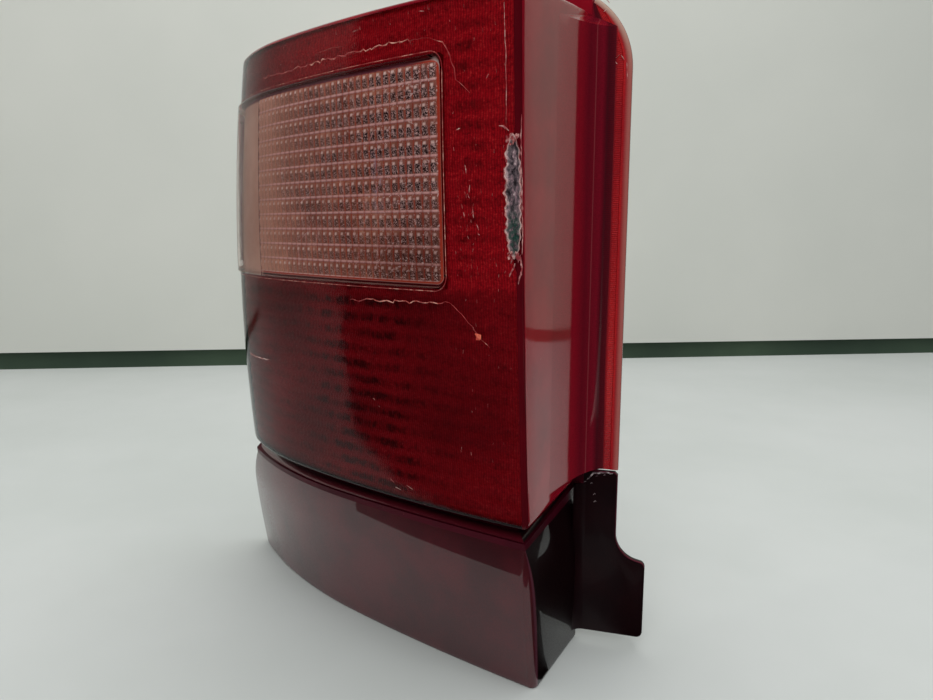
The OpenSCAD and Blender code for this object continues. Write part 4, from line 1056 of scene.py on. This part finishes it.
def build_window():
    edge = [0.0, 0.12, 0.35, 0.7, 1.2, 1.7, 2.2, 2.7]
    field0 = WINDOW_S0 + WINDOW_RIM
    field1 = field0 + PILLOW_W * PILLOW_COLUMNS
    columns = [WINDOW_S0 + e for e in edge]
    columns += [field0 + PILLOW_W * k / 6 for k in range(6 * PILLOW_COLUMNS + 1)]
    columns += steps(field1, WINDOW_S1 - WINDOW_RIM, 2.4)[1:] + [WINDOW_S1 - WINDOW_RIM]
    columns += [WINDOW_S1 - e for e in reversed(edge)]
    rows = [WINDOW_Z0 + e for e in edge[:-1]]
    rows += [ROWS_FOOT + PILLOW_H * k / 8 for k in range(8 * PILLOW_ROWS + 1)]
    rows += [WINDOW_Z1 - e for e in reversed(edge[:-2])]
    s = np.array(columns)
    t = (np.array(rows) - WINDOW_Z0) / (WINDOW_Z1 - WINDOW_Z0)
    d = np.minimum(s - WINDOW_S0, WINDOW_S1 - s)
    draw = np.where(d >= WINDOW_R, 0, WINDOW_R - np.sqrt(np.maximum(0, WINDOW_R**2 - (WINDOW_R - d) ** 2)))
    z = (WINDOW_Z0 + draw)[None, :] + t[:, None] * (WINDOW_Z1 - WINDOW_Z0 - 2 * draw)[None, :]
    ss = np.broadcast_to(s[None, :], z.shape)
    inside = window_inside(ss, z)
    edge_r, groove_at, groove_depth = 1.3, 2.2, 0.3
    rounding = edge_r - np.sqrt(np.maximum(0, edge_r**2 - (edge_r - np.minimum(inside, edge_r)) ** 2))
    groove = groove_depth * np.exp(-(((inside - groove_at) / 0.35) ** 2))
    outer = lens(ss, z, -WINDOW_PROUD + rounding + groove)
    u = (ss - field0) / PILLOW_W
    v = (np.array(rows) - ROWS_FOOT)[:, None] / PILLOW_H + 0 * ss
    fu, fv = u - np.floor(u), v - np.floor(v)
    in_field = (u > -1e-6) & (u < PILLOW_COLUMNS + 1e-6) & (v > -1e-6) & (v < PILLOW_ROWS + 1e-6)
    dome = (1 - (2 * fu - 1) ** 2) * np.clip(1 - (2 * fv - 1.08) ** 2, 0, 1)
    ledge = np.exp(-(((np.minimum(fv, 1 - fv)) / 0.09) ** 2))
    dome_height, ledge_height, thickness = 1.1, 0.25, 2.4
    relief = np.where(in_field, dome_height * dome + ledge_height * ledge, 0.0)
    inner = lens(ss, z, thickness - relief)
    count = z.size
    faces = grid_faces(len(rows), len(columns))
    back, walls = close_shell(faces, count)
    uv = np.stack([ss, z], -1).reshape(-1, 2)
    points = np.concatenate([outer.reshape(-1, 3), inner.reshape(-1, 3)])
    slots = [0] * len(faces) + [1] * len(back) + [0] * len(walls)
    return add_piece(
        "window_clear", points, faces + back + walls, [WINDOW_CLEAR, WINDOW_INNER], slots,
        np.concatenate([uv, uv]), sharp=60.0, stands_for=("clear_window",),
    )


build_window()


# The painted panel
PANEL_WALL, TOP_R, CROWN_Z, LEDGE_Z = 3.0, 4.0, 54.0, 60.0
PANEL_CORNER_R, PANEL_END_R = 3.4, 1.0


def panel_rear_z(z):
    """Height on the rim of the ring that is at z on the panel's face: the top rises to the ledge."""
    return z if z < LEDGE_Z else LEDGE_Z + (z - LEDGE_Z) / (PANEL_TOP - LEDGE_Z) * (LEDGE_REAR - LEDGE_Z)


def panel_heading(s, z):
    return float(front_curve(PANEL_HEADINGS, PANEL_RADII, s)[2])


panel_wrap = Wrap(
    panel, PANEL_LEN, PANEL_RIM_IN, PANEL_RIM_OUT, panel_rear_z, PANEL_CORNER_R, PANEL_END_R, panel_heading
)


def crown(z):
    """How far the panel's face draws in at height z: a slight bulge, then a crown towards the top."""
    bulge = 1.0 * math.sin(math.pi * min(1.0, z / PANEL_TOP))
    return max(0.0, min(z, PANEL_TOP - TOP_R) - 50.0) ** 2 / 190.0 - bulge


def panel_rows():
    """Rows as (height at the corner, share of the fall, inset)."""
    rows = [(0.0, 0.0, 0.9), (0.25, 0.0, 0.35), (0.9, 0.0, 0.05), (2.5, 0.0, 0.0)]
    rows += [(z, 0.0, 0.0) for z in steps(4.5, CROWN_Z, 4.5)]
    body_top = PANEL_TOP - TOP_R
    rows += [(CROWN_Z + (body_top - CROWN_Z) * k / 8, k / 8, 0.0) for k in range(8)]
    for a in np.radians([0, 12, 24, 36, 48, 60, 75, 90]):
        inset = (TOP_R + 0.6) * (1 - math.cos(a)) + 0.9 * math.sin(a)
        rows.append((body_top + TOP_R * math.sin(a), 1.0, inset))
    return [(z, fall, inset + crown(z)) for z, fall, inset in rows]


def build_panel():
    turn = PANEL_LEN - 16.0
    columns = [4.0, 5.5, 7.0, 9.0, 11.0] + steps(13.0, turn, 4.0) + steps(turn, PANEL_LEN - 3.0, 1.0)
    columns.append(PANEL_LEN - 3.0)
    outer, inner, uv = [], [], []
    top_in = PANEL_TOP - PANEL_WALL
    for z, fall, inset in panel_rows():
        slope = -fall * PANEL_FALL
        points, way = panel_wrap.ring(z, slope, inset, columns)
        outer.append(points)
        uv.append([(w, z) for w in way])
        zi = z if z < 50 else 50 + (z - 50) / (PANEL_TOP - 50) * (top_in - 50)
        inner.append(panel_wrap.ring(zi, slope, PANEL_WALL, columns)[0])
    outer, inner, uv = np.array(outer), np.array(inner), np.array(uv)
    n = outer.shape[1]
    top, top_in = rim_rows(columns, PANEL_RIM_IN, PANEL_RIM_OUT, (LEDGE_REAR, LEDGE_REAR - PANEL_WALL))
    top[0], top[-1] = outer[-1][0], outer[-1][-1]
    outer = np.concatenate([outer, top[None]])
    inner = np.concatenate([inner, top_in[None]])
    uv = np.concatenate([uv, np.column_stack([uv[0][:, 0], np.full(n, 100.0)])[None]]).reshape(-1, 2)
    faces = clean(grid_faces(len(outer), n))
    points = np.concatenate([outer.reshape(-1, 3), inner.reshape(-1, 3)])
    back, walls = close_shell(faces, len(uv))
    ledge_from, side_from = 84.0, -6.0
    slots = []
    for f in faces:
        way, high = uv[list(f)].mean(0)
        # The side wall takes the darker side paint: painted shade.
        slots.append(2 if high > ledge_from else 1 if way < side_from else 0)
    slots += [2] * (len(back) + len(walls))
    return add_piece(
        "panel_painted", points, faces + back + walls, [PAINT, PAINT_SIDE_SHADE, PAINT_GAP], slots,
        np.concatenate([uv, uv]), stands_for=("lower_panel",),
    )


build_panel()


def arc(cx, cz, r, degrees):
    """Points of an arc in x and z."""
    return [(cx + r * math.cos(a), cz + r * math.sin(a)) for a in np.radians(degrees)]


def ear_outline():
    """Outline of the panel's flange and ear, counter-clockwise in x and z."""
    x0, r = PANEL_RIM_IN[0] - 2.0, 3.0
    pts = [(x0, EAR_LOW)]
    pts += arc(EAR_X - r, EAR_LOW + r, r, np.linspace(-90, 0, 7))
    pts += arc(EAR_X - r, EAR_HIGH - r, r, np.linspace(0, 90, 7))
    pts += arc(FLANGE_EDGE_X + EAR_FILLET, EAR_HIGH + EAR_FILLET, EAR_FILLET, np.linspace(-98, -180, 12))
    pts += [(FLANGE_EDGE_X, PANEL_FLANGE_HIGH - 1.5), (FLANGE_EDGE_X - 1.5, PANEL_FLANGE_HIGH)]
    inner = RIM_IN[0] + 0.6
    return pts + [(inner, PANEL_FLANGE_HIGH), (inner, LEDGE_REAR - 0.2), (x0, LEDGE_REAR - 0.2)]


def build_ear():
    """The panel's flange and ear: a flat plate with rounded front and back edges."""
    bm = bmesh.new()
    bm.faces.new([bm.verts.new((np.array([x, FLANGE_Y, z]) + SHIFT) * MM) for x, z in ear_outline()])
    bm.normal_update()
    if bm.faces[:][0].normal.y > 0:
        bmesh.ops.reverse_faces(bm, faces=bm.faces[:])
    out = bmesh.ops.extrude_face_region(bm, geom=bm.faces[:])
    moved = [v for v in out["geom"] if isinstance(v, bmesh.types.BMVert)]
    bmesh.ops.translate(bm, verts=moved, vec=(0, FLANGE_T * MM, 0))
    bmesh.ops.recalc_face_normals(bm, faces=bm.faces[:])
    flat = {face for face in bm.faces if abs(face.normal.y) > 0.9}
    rims = [e for e in bm.edges if sum(face in flat for face in e.link_faces) == 1]
    rounding = {"offset": 0.9 * MM, "segments": 3, "profile": 0.5}
    bmesh.ops.bevel(bm, geom=rims, affect="EDGES", clamp_overlap=True, **rounding)
    mesh = bpy.data.meshes.new("panel_ear")
    bm.to_mesh(mesh)
    bm.free()
    mesh.materials.append(PAINT_SHADED)
    mesh.materials.append(PAINT_RIM_HIGHLIGHT)
    # The upper front bevels take the paler rim paint, a painted highlight; the rest takes the shaded paint,
    # painted shade.
    for face in mesh.polygons:
        face.material_index = 1 if 0.2 < -face.normal.y < 0.95 and face.center.z > EAR_HIGH * 0.9 * MM else 0
    return finish_piece("panel_ear", mesh)


build_ear()
# The fillet takes the shaded paint: painted shade.
fillet, fillet_ways = hollow_rows(PANEL_SIDE_X, 5.0, 5.0, EAR_LOW + 0.4, lambda y: LEDGE_REAR - 0.6)
strip_piece("panel_fillet", fillet, PAINT_SHADED, fillet_ways)


def build_upstand():
    """The low wall on the panel's ledge that closes the joint under the lens."""
    first = PANEL_RIM_IN + np.array([1.2, -0.3])
    last = PANEL_RIM_IN + (PANEL_RIM_OUT - PANEL_RIM_IN) * 0.6 + np.array([0.0, -0.3])
    slope = (last[1] - first[1]) / (last[0] - first[0])
    foot, high, low = 89.4, 97.1, 94.1
    tops = [(15.6, high), (13.72, high), (13.68, low)] + [(x, low) for x in np.linspace(12.0, last[0], 22)]
    rows = []
    for x, top in tops:
        y = first[1] + slope * (x - first[0])
        back = y - 2.5
        rows.append([(x, back, foot), (x, back, top - 0.6), (x, y - 1.9, top), (x, y, top), (x, y, foot)])
    strip_piece("panel_upstand", rows, PAINT_GAP)


build_upstand()


# Damage: the knock on the inner corner, cracks, scratches and residue
WARD = np.random.RandomState(41)


def lens_skin(w, z, out=0.0):
    """Point on the lens, w from its inner corner: along the front when positive, down the side when not."""
    corner = lens(0.0, z)
    a = lens_heading(0.0, z)
    unit = math.hypot(SIDE_DRAFT, 1.0)
    side, side_out = np.array([SIDE_DRAFT, 1.0, 0.0]) / unit, np.array([1.0, -SIDE_DRAFT, 0.0]) / unit
    front_out = np.array([-math.sin(a), -math.cos(a), 0.0])
    reach = 2.3
    if w >= reach:
        return lens(w, z, -out)
    if w <= -reach:
        return corner - w * side + out * side_out
    t = (w + reach) / (2 * reach)
    start, stop = corner + reach * side, lens(reach, z)
    point = (1 - t) ** 2 * start + 2 * t * (1 - t) * corner + t * t * stop
    ward = (1 - t) * side_out + t * front_out
    return point + out * ward / np.linalg.norm(ward)


def window_skin(s, z, out):
    return lens(s, z, -WINDOW_PROUD - out)


def flange_skin(x, z, out):
    return np.array([x, FLANGE_Y - out, z])


class Ridges:
    """Thin closed ridges that follow paths on a surface, gathered into one piece."""

    def __init__(self, skin):
        self.skin, self.points, self.faces = skin, [], []

    def shaken(self, path, jitter, step):
        """The path in short steps, each but the first and last moved a little by chance."""
        fine = []
        for (a0, z0), (a1, z1) in zip(path, path[1:]):
            n = max(1, int(math.hypot(a1 - a0, z1 - z0) / step))
            fine += [(a0 + (a1 - a0) * k / n, z0 + (z1 - z0) * k / n) for k in range(n)]
        moved = [(a + WARD.uniform(-jitter, jitter), z + WARD.uniform(-jitter, jitter)) for a, z in fine[1:]]
        return [fine[0]] + moved + [path[-1]]

    def add(self, path, width, height, jitter=0.0, step=2.0, sink=0.25):
        moved = self.shaken(path, jitter, step)
        spine = [np.array(self.skin(a, z, 0.0)) for a, z in moved]
        first, last = len(self.points), len(moved) - 1
        shake = 1.0 if jitter > 0 else 0.0
        for k, (a, z) in enumerate(moved):
            along = spine[min(k + 1, last)] - spine[max(k - 1, 0)]
            along = along / max(1e-6, np.linalg.norm(along))
            out = np.array(self.skin(a, z, 1.0)) - spine[k]
            across = np.cross(out, along)
            taper = 0.35 + 0.65 * max(0.0, math.sin(math.pi * k / max(1, last))) ** 0.5
            half = 0.5 * width * taper * (1 + WARD.uniform(-0.35, 0.35) * shake)
            top = height * (1 + WARD.uniform(-0.4, 0.4) * shake)
            for place in (-across * half, out * top, across * half, -out * sink):
                self.points.append(tuple(spine[k] + place))
        self.faces += [tuple(first + v for v in face) for face in tube_faces(len(moved), 4)]

    def piece(self, name, material, slot):
        return add_piece(name, self.points, self.faces, [material], sharp=50.0)


def break_edges(z):
    """The knock's edges at height z, as distances from the corner."""
    t = (z - 234.6) / 24.6
    swell = max(0.0, 1.0 - abs(t) ** 5)
    ragged = 0.45 * math.sin(z * 0.83) + 0.3 * math.sin(z * 2.1 + 1.0)
    return 3.4 - (3.6 + 0.5 * math.sin(z * 1.3)) * swell, 3.4 + (3.3 + ragged) * swell


BREAK_LOW, BREAK_TALL = 210.2, 48.6


def build_break():
    """The broken face of the knock, rough and sunk, with pale edges."""
    levels, columns = 120, 22
    outer, inner, rim, uv = [], [], [], []
    rough = WARD.uniform(-1, 1, (levels + 1, columns + 1))
    rough = 0.5 * rough + 0.25 * (np.roll(rough, 1, 0) + np.roll(rough, -1, 0))
    for j in range(levels + 1):
        z = BREAK_LOW + BREAK_TALL * j / levels
        low, high = break_edges(z)
        for i in range(columns + 1):
            f = i / columns
            w = low + (high - low) * f
            near = min(f, 1 - f) * 2
            bowl = min(1.0, near * 1.6) * min(1.0, min(j, levels - j) / 9.0)
            lift = 0.25 - 1.35 * bowl + 0.45 * rough[j, i] * min(1.0, near * 3 + 0.2)
            outer.append(tuple(lens_skin(w, z, lift)))
            inner.append(tuple(lens_skin(w, z, lift - 0.7)))
            rim.append(max(0.0, 1 - near * 4.4) + max(0.0, 1 - min(j, levels - j) / 8.0))
            uv.append((w, z))
    faces = grid_faces(levels + 1, columns + 1)
    back, walls = close_shell(faces, len(outer))
    return add_piece(
        "lens_break", outer + inner, faces + back + walls, [BREAK], None, uv + uv, sharp=25.0,
        rim=rim + rim,
    )


def build_break_edges():
    """Raised pale edges of the knock, with short shards at its ends and cracks that run out of it."""
    edges = Ridges(lens_skin)
    heights = np.linspace(211.0, 257.5, 32)
    edges.add([(break_edges(z)[1] + 0.1, z) for z in heights], 0.75, 0.3, 0.3, 1.2)
    edges.add([(break_edges(z)[0] - 0.2, z) for z in heights[::2]], 0.4, 0.15, 0.25, 2.2)
    for k in range(30):
        end, up = (257.0, 1) if k % 2 == 0 else (211.5, -1)
        spread = WARD.uniform(-1, 1)
        w, z = 3.2 + 2.6 * spread, end + WARD.uniform(-2.5, 1.0) * up
        long = WARD.uniform(0.8, 2.6) * (1.25 - 0.5 * abs(spread))
        lean = 0.55 * spread + WARD.uniform(-0.25, 0.25)
        rise, side = long * math.cos(lean) * up, long * math.sin(lean)
        path = [(w, z), (w + side * 0.5, z + rise * 0.5), (w + side, z + rise)]
        edges.add(path, WARD.uniform(0.5, 1.5), WARD.uniform(0.1, 0.3), 0.2, 0.8)
    edges.add([(5.0, 260.0), (7.2, 261.6), (9.4, 262.2)], 0.8, 0.25, 0.2, 0.8)
    edges.add([(3.0, 208.5), (4.4, 205.0), (5.6, 203.0)], 0.7, 0.25, 0.3, 0.8)
    edges.add([(0.4, 212.0), (-0.6, 206.0), (1.6, 200.0)], 0.7, 0.25, 0.3, 1.0)
    beside = [(-0.9, 212.0), (-1.7, 222.0), (-1.5, 240.0), (-1.0, 256.0), (-1.6, 266.0)]
    edges.add(beside, 0.7, 0.15, 0.35, 1.6)
    edges.piece("lens_break_edges", BREAK_EDGE, "red_lens")


def build_cracks():
    """Long cracks over and under the window, and the small chip in the lower one."""
    cracks = Ridges(lens_skin)
    over = [(171.3, 300.6), (145, 299.6), (115.6, 300.0), (84.5, 300.1), (60, 300.6), (42.7, 299.2)]
    cracks.add(over, 0.6, 0.24, 0.8, 2.0)
    down = [(42.7, 299.2), (36.5, 296.5), (32.5, 291.3), (30.6, 286), (29.6, 281.4), (22.8, 275.7)]
    cracks.add(down, 0.4, 0.2, 0.35, 2.2)
    cracks.add([(96.3, 188.3), (82.4, 189.1), (60, 189.6), (35.2, 190.6)], 0.55, 0.22, 0.7, 2.0)
    cracks.add([(35.2, 190.6), (27.5, 184.5), (21.3, 177.6)], 0.4, 0.2, 0.3, 2.0)
    cracks.add([(21.3, 176.7), (18.8, 175.0), (15.5, 172.4)], 0.3, 0.15, 0.2, 2.0)
    cracks.add([(118, 303.5), (104, 304.6), (96, 303.8)], 0.3, 0.15, 0.3, 2.4)
    cracks.piece("lens_cracks", CRACK, "red_lens")
    chip = Ridges(lens_skin)
    chip.add([(22.6, 178.0), (21.6, 177.2), (20.2, 175.6)], 2.6, 0.5, 0.2, 0.7)
    chip.add([(22.2, 175.4), (20.4, 177.8)], 1.6, 0.4, 0.2, 0.7)
    chip.piece("lens_small_chip", CHIP, "red_lens")


def build_scratches():
    """Whitened scratches on the lens: two long ones, short nicks at known places and fine ones by chance."""
    white = Ridges(lens_skin)
    white.add([(205.5, 148.3), (190, 148.0), (172, 149.0)], 0.6, 0.2, 0.3, 2.5)
    white.add([(6.8, 307.0), (6.2, 290.0), (6.0, 274.0), (6.2, 262.0)], 0.26, 0.1, 0.15, 3.0)
    for s, z, ds, dz in (
        (25.8, 248.0, -0.7, -6.0), (23.6, 240.0, 0.6, -5.0), (24.8, 236.5, -1.2, -3.0),
        (22.6, 231.0, -0.6, -7.0), (20.6, 224.0, -1.4, -4.0), (19.1, 219.7, 1.6, 1.2),
        (27.0, 229.0, -0.6, -3.0), (82.9, 140.0, 1.6, 1.4), (80.0, 137.0, 0.8, 1.0), (70.0, 96.0, 4.5, 1.2),
        (62.0, 98.0, 5.0, 2.0), (74.0, 99.0, 3.0, 2.4), (30.0, 262.0, -3.0, 1.0), (14.0, 282.0, 1.5, -2.5),
        (46.0, 310.0, 4.0, 0.8), (90.0, 309.0, -6.0, 0.4),
    ):
        white.add([(s, z), (s + ds * 0.4, z + dz * 0.3), (s + ds * 0.7, z + dz * 0.6)], 0.34, 0.14, 0.12, 1.0)
    for k in range(110):
        s, z = WARD.uniform(5, 33), WARD.uniform(120, 312)
        if k % 4 == 0:
            s, z = WARD.uniform(20, 29), WARD.uniform(205, 262)
        if k % 4 == 1:
            s, z = WARD.uniform(40, 150), WARD.uniform(296, 313)
        white.add([(s, z), (s + WARD.uniform(-0.4, 0.4), z - WARD.uniform(0.4, 1.8))], 0.2, 0.08, 0.0, 2.0)
    white.piece("lens_scratches", WHITENED, "red_lens")


def build_hairlines():
    """Fine bent scratches on the window."""
    hair = Ridges(window_skin)
    for _ in range(34):
        s, z = WARD.uniform(58, 150), WARD.uniform(204, 284)
        long, lean = WARD.uniform(4, 17), WARD.uniform(-0.5, 1.1)
        half = (s + long * 0.5 * math.sin(lean), z - long * 0.5 * math.cos(lean))
        end = (s + long * math.sin(lean + 0.12), z - long * math.cos(lean + 0.12))
        if 44 < end[0] < 176 and end[1] > 200:
            hair.add([(s, z), half, end], 0.2, 0.07, 0.12, 2.0, 0.1)
    hair.piece("window_hairlines", HAIRLINE, "clear_window")


def build_seam():
    """The pale line round the window's joint."""
    seam = Ridges(lambda s, z, out: lens(s, z, -out))
    off = 1.2
    r = WINDOW_R + off
    low, high, left, right = WINDOW_Z0 - off, WINDOW_Z1 + off, WINDOW_S0 - off, WINDOW_S1 - 8
    turns = np.linspace(0.1, math.pi / 2, 8)
    path = [(s, low) for s in np.linspace(right, left + r, 40)]
    path += [(left + r - r * math.sin(a), low + r - r * math.cos(a)) for a in turns]
    path += [(left, z) for z in np.linspace(low + r + 2, high - r, 30)]
    path += [(left + r - r * math.cos(a), high - r + r * math.sin(a)) for a in turns]
    path += [(s, high) for s in np.linspace(left + r + 2, right, 40)]
    seam.add(path, 0.4, 0.12, 0.0, 50.0, 0.15)
    seam.piece("window_seam_line", CRACK, "red_lens")


def build_specks():
    """Specks on the flange's bend, and what is left of a sealant on the panel's flange."""
    bits = Ridges(flange_skin)
    for x, z, dx, dz in (
        (28.4, 301.0, -1.6, 2.2), (26.0, 303.6, -2.0, -1.6), (24.0, 300.6, 1.2, -1.2),
        (29.6, 299.8, 0.4, -7.5), (22.6, 302.0, -0.8, -0.6), (20.6, 327.0, -1.6, 1.6),
        (19.4, 324.5, -1.4, -1.2),
    ):
        bits.add([(x, z), (x + dx * 0.5, z + dz * 0.6), (x + dx, z + dz)], 0.4, 0.2, 0.12, 1.0)
    bits.piece("flange_specks", WHITENED, "red_lens")
    left = Ridges(flange_skin)
    left.add([(17.5, 93.0), (19.5, 95.6), (23.0, 96.6), (29.8, 96.6)], 0.9, 0.35, 0.3, 1.1)
    dabs = ((15.0, 90.5), (16.5, 92.0), (18.5, 90.0), (21.0, 94.0), (25.0, 95.0), (20.0, 84.0), (20.4, 80.0))
    for x, z in dabs:
        left.add([(x, z), (x + 0.5, z + 0.7), (x + 1.2, z + 0.4)], 0.5, 0.2, 0.25, 0.6)
    left.piece("panel_residue", RESIDUE, "panel_paint")


build_break()
build_break_edges()
build_cracks()
build_scratches()
build_hairlines()
build_seam()
build_specks()

# Materials on the nodes that stay
FINISH = {
    "rear_housing": BLACK, "bulb_carrier": BLACK, "upper_reflector": SILVER, "lower_reflector": SILVER,
    "body_gasket": FOAM, "carrier_gasket": FOAM, "earth_strip": BRASS, "feed_contacts": BRASS,
    "connector_terminals": BRASS, "mounting_studs": STEEL, "panel_screws": STEEL, "vent_cap": RUBBER,
    "reverse_bulb": GLASS, "stop_bulb": GLASS, "fog_bulb": GLASS, "indicator_bulb": AMBER,
    "reverse_bulb_cap": BRASS, "stop_bulb_cap": BRASS, "fog_bulb_cap": BRASS, "indicator_bulb_cap": BRASS,
}
for name, material in FINISH.items():
    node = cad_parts[name]
    if len(node.material_slots) == 0:
        node.data.materials.append(material)
    for place in node.material_slots:
        place.material = material


# Stage, light and camera
def stage_plane(name, foot, along, up, width, height, material):
    """A flat sheet of the stage, from the middle of its foot."""
    along, up, foot = Vector(along).normalized(), Vector(up).normalized(), Vector(foot)
    a, b = foot - along * width / 2, foot + along * width / 2
    mesh = bpy.data.meshes.new(name)
    mesh.from_pydata([tuple(v) for v in (a, b, b + up * height, a + up * height)], [], [(0, 1, 2, 3)])
    mesh.materials.append(material)
    piece = bpy.data.objects.new(name, mesh)
    bpy.context.scene.collection.objects.link(piece)
    return piece


def upright(name, foot, along, width, height, material):
    """An upright sheet of the stage."""
    return stage_plane(name, foot, along, (0, 0, 1), width, height, material)


def stage_material(name, colour, other, scale=3.0):
    m = Nodes(name)
    where = m.place()
    base = m.mix(m.level(m.noise(where, scale, 4.0, 0.6), 0.3, 0.7), colour, other)
    return m.finish(m.principled(Base_Color=base, Roughness=0.75))


FLOOR = stage_material("stage_floor", (208, 211, 208), (200, 204, 200))
WALL = stage_material("stage_wall", (216, 216, 208), (208, 209, 201), 1.5)
# A dark strip in the joint under the wall: painted shadow.
GAP_SHADOW = stage_material("stage_gap_shadow", (78, 98, 76), (60, 78, 62))
SIDE_WALL = stage_material("stage_side_wall", (192, 192, 186), (182, 182, 176), 1.5)
CARD = stage_material("stage_card", (204, 202, 190), (194, 192, 180), 1.5)
DARK = stage_material("stage_flag", (16, 15, 16), (12, 12, 12))

# The camera, and the far edge of the table, which turns a little away from the view
CAMERA_AT = Vector((0.14266, -0.37352, 0.22300))
heading = Vector((-0.2790, 0.9603, 0.0)).normalized()
across = Vector((heading.y, -heading.x, 0.0))
PITCH, WALL_TURN = math.radians(9.603), math.radians(5.7)
FOCAL_PIXELS, PICTURE_PIXELS, SENSOR = 727.0, 933.0, 36.0
wall_way = (across * math.cos(WALL_TURN) + heading * math.sin(WALL_TURN)).normalized()
wall_back = Vector((-wall_way.y, wall_way.x, 0.0))
table_edge = CAMERA_AT + heading * 1.2355 + across * 0.295
table_edge.z = 0.0
STAGE_WIDE, FLOOR_DEEP = 9.0, 6.0
wall_foot, gap_foot = Vector((0, 0, 0.024)), Vector((0, 0, -0.1))
floor_foot = table_edge - wall_back * FLOOR_DEEP
stage_plane("stage_floor", floor_foot, wall_way, wall_back, STAGE_WIDE, FLOOR_DEEP, FLOOR)
upright("stage_wall_back", table_edge + wall_back * 0.015 + wall_foot, wall_way, STAGE_WIDE, 2.2, WALL)
# The dark joint under the wall: painted shadow.
upright("stage_wall_gap", table_edge + wall_back * 0.035 + gap_foot, wall_way, STAGE_WIDE, 0.2, GAP_SHADOW)
upright("stage_wall_left", (-1.3, 0.45, 0), (0, 1, 0), 2.0, 1.1, SIDE_WALL)


def mirrored_only(piece):
    """Seen in reflections, and by nothing else."""
    piece.visible_camera = False
    piece.visible_diffuse = False
    piece.visible_shadow = False
    piece.visible_transmission = False


# The dark room in front of the table and the near wall at its right end, as the gloss shows them
ROOM_EDGE = [(1.4, -0.20), (-0.016, -0.149), (-0.15, -0.133), (-0.31, -0.134), (-1.886, -0.869)]
for name, start, stop in zip(("right", "middle", "near", "left"), ROOM_EDGE, ROOM_EDGE[1:]):
    way = Vector((stop[0] - start[0], stop[1] - start[1], 0.0))
    foot = ((start[0] + stop[0]) / 2, (start[1] + stop[1]) / 2, 0.002)
    mirrored_only(upright("stage_flag_" + name, foot, way, way.length, 1.2, DARK))
# Dark sheets beside the table and on it, seen only in reflections: painted dark reflections in the side wall
# and the flange's hollow.
mirrored_only(upright("stage_flag_side", (0.8067, 0.0507, 0.001), (0.955, -0.297, 0), 1.0, 1.4, DARK))
floor_at, floor_along, floor_up = (0.24, 0.11, 0.0015), (0.713, 0.701, 0), (0.701, -0.713, 0)
mirrored_only(stage_plane("stage_flag_floor", floor_at, floor_along, floor_up, 0.44, 0.8, DARK))
CARD_WAY = (0.857, -0.515, 0.0)
mirrored_only(upright("stage_card_right", (0.64, 0.88, 0.026), CARD_WAY, 1.0, 1.6, CARD))
# The card's dark foot: the joint's painted shadow, in reflections.
mirrored_only(upright("stage_card_gap", (0.645, 0.889, 0.0), CARD_WAY, 1.0, 0.036, GAP_SHADOW))


def area_light(name, at, to, size, power, mirrored=True):
    """A square light that faces a point; one that isn't mirrored leaves the gloss alone."""
    light = bpy.data.lights.new(name, "AREA")
    light.shape = "SQUARE"
    light.size = size
    light.energy = power
    piece = bpy.data.objects.new(name, light)
    piece.location = at
    piece.rotation_euler = (Vector(to) - Vector(at)).to_track_quat("-Z", "Y").to_euler()
    piece.visible_glossy = mirrored
    bpy.context.scene.collection.objects.link(piece)


area_light("light_above", (0.1, 0.0, 1.6), (0.0, 0.0, 0.0), 1.5, 16.0, False)
area_light("light_spark", (0.75, -0.35, 1.3), (0.05, 0.0, 0.1), 0.16, 0.7)
area_light("light_front", (0.25, -1.7, 1.2), (0.0, 0.0, 0.15), 1.4, 13.0, False)


def set_world():
    """Soft light all round, dim in the gloss, and the wall's colour where the camera sees past the stage."""
    world = bpy.data.worlds.new("world")
    bpy.context.scene.world = world
    world.use_nodes = True
    tree = world.node_tree
    tree.nodes.clear()
    out = tree.nodes.new("ShaderNodeOutputWorld")
    path = tree.nodes.new("ShaderNodeLightPath")
    shaders = []
    looks = (((0.92, 0.96, 1.0, 1), 0.42), (srgb(205, 208, 204), 1.0), ((0.06, 0.06, 0.062, 1), 1.0))
    for colour, strength in looks:
        shader = tree.nodes.new("ShaderNodeBackground")
        shader.inputs[0].default_value = colour
        shader.inputs[1].default_value = strength
        shaders.append(shader)
    ambient, seen, mirrored = shaders
    first, second = (tree.nodes.new("ShaderNodeMixShader") for _ in range(2))
    for source, target in (
        (path.outputs["Is Glossy Ray"], first.inputs[0]), (ambient.outputs[0], first.inputs[1]),
        (mirrored.outputs[0], first.inputs[2]), (path.outputs["Is Camera Ray"], second.inputs[0]),
        (first.outputs[0], second.inputs[1]), (seen.outputs[0], second.inputs[2]),
        (second.outputs[0], out.inputs[0]),
    ):
        tree.links.new(source, target)


set_world()

camera = bpy.data.cameras.new("camera")
camera.sensor_width = SENSOR
camera.lens = SENSOR * FOCAL_PIXELS / PICTURE_PIXELS
camera.clip_start, camera.clip_end = 0.02, 30.0
camera_piece = bpy.data.objects.new("camera", camera)
camera_piece.location = CAMERA_AT
look = heading * math.cos(PITCH) + Vector((0, 0, -math.sin(PITCH)))
camera_piece.rotation_euler = look.to_track_quat("-Z", "Y").to_euler()
bpy.context.scene.collection.objects.link(camera_piece)
bpy.context.scene.camera = camera_piece

bpy.context.scene.view_settings.view_transform = "Standard"
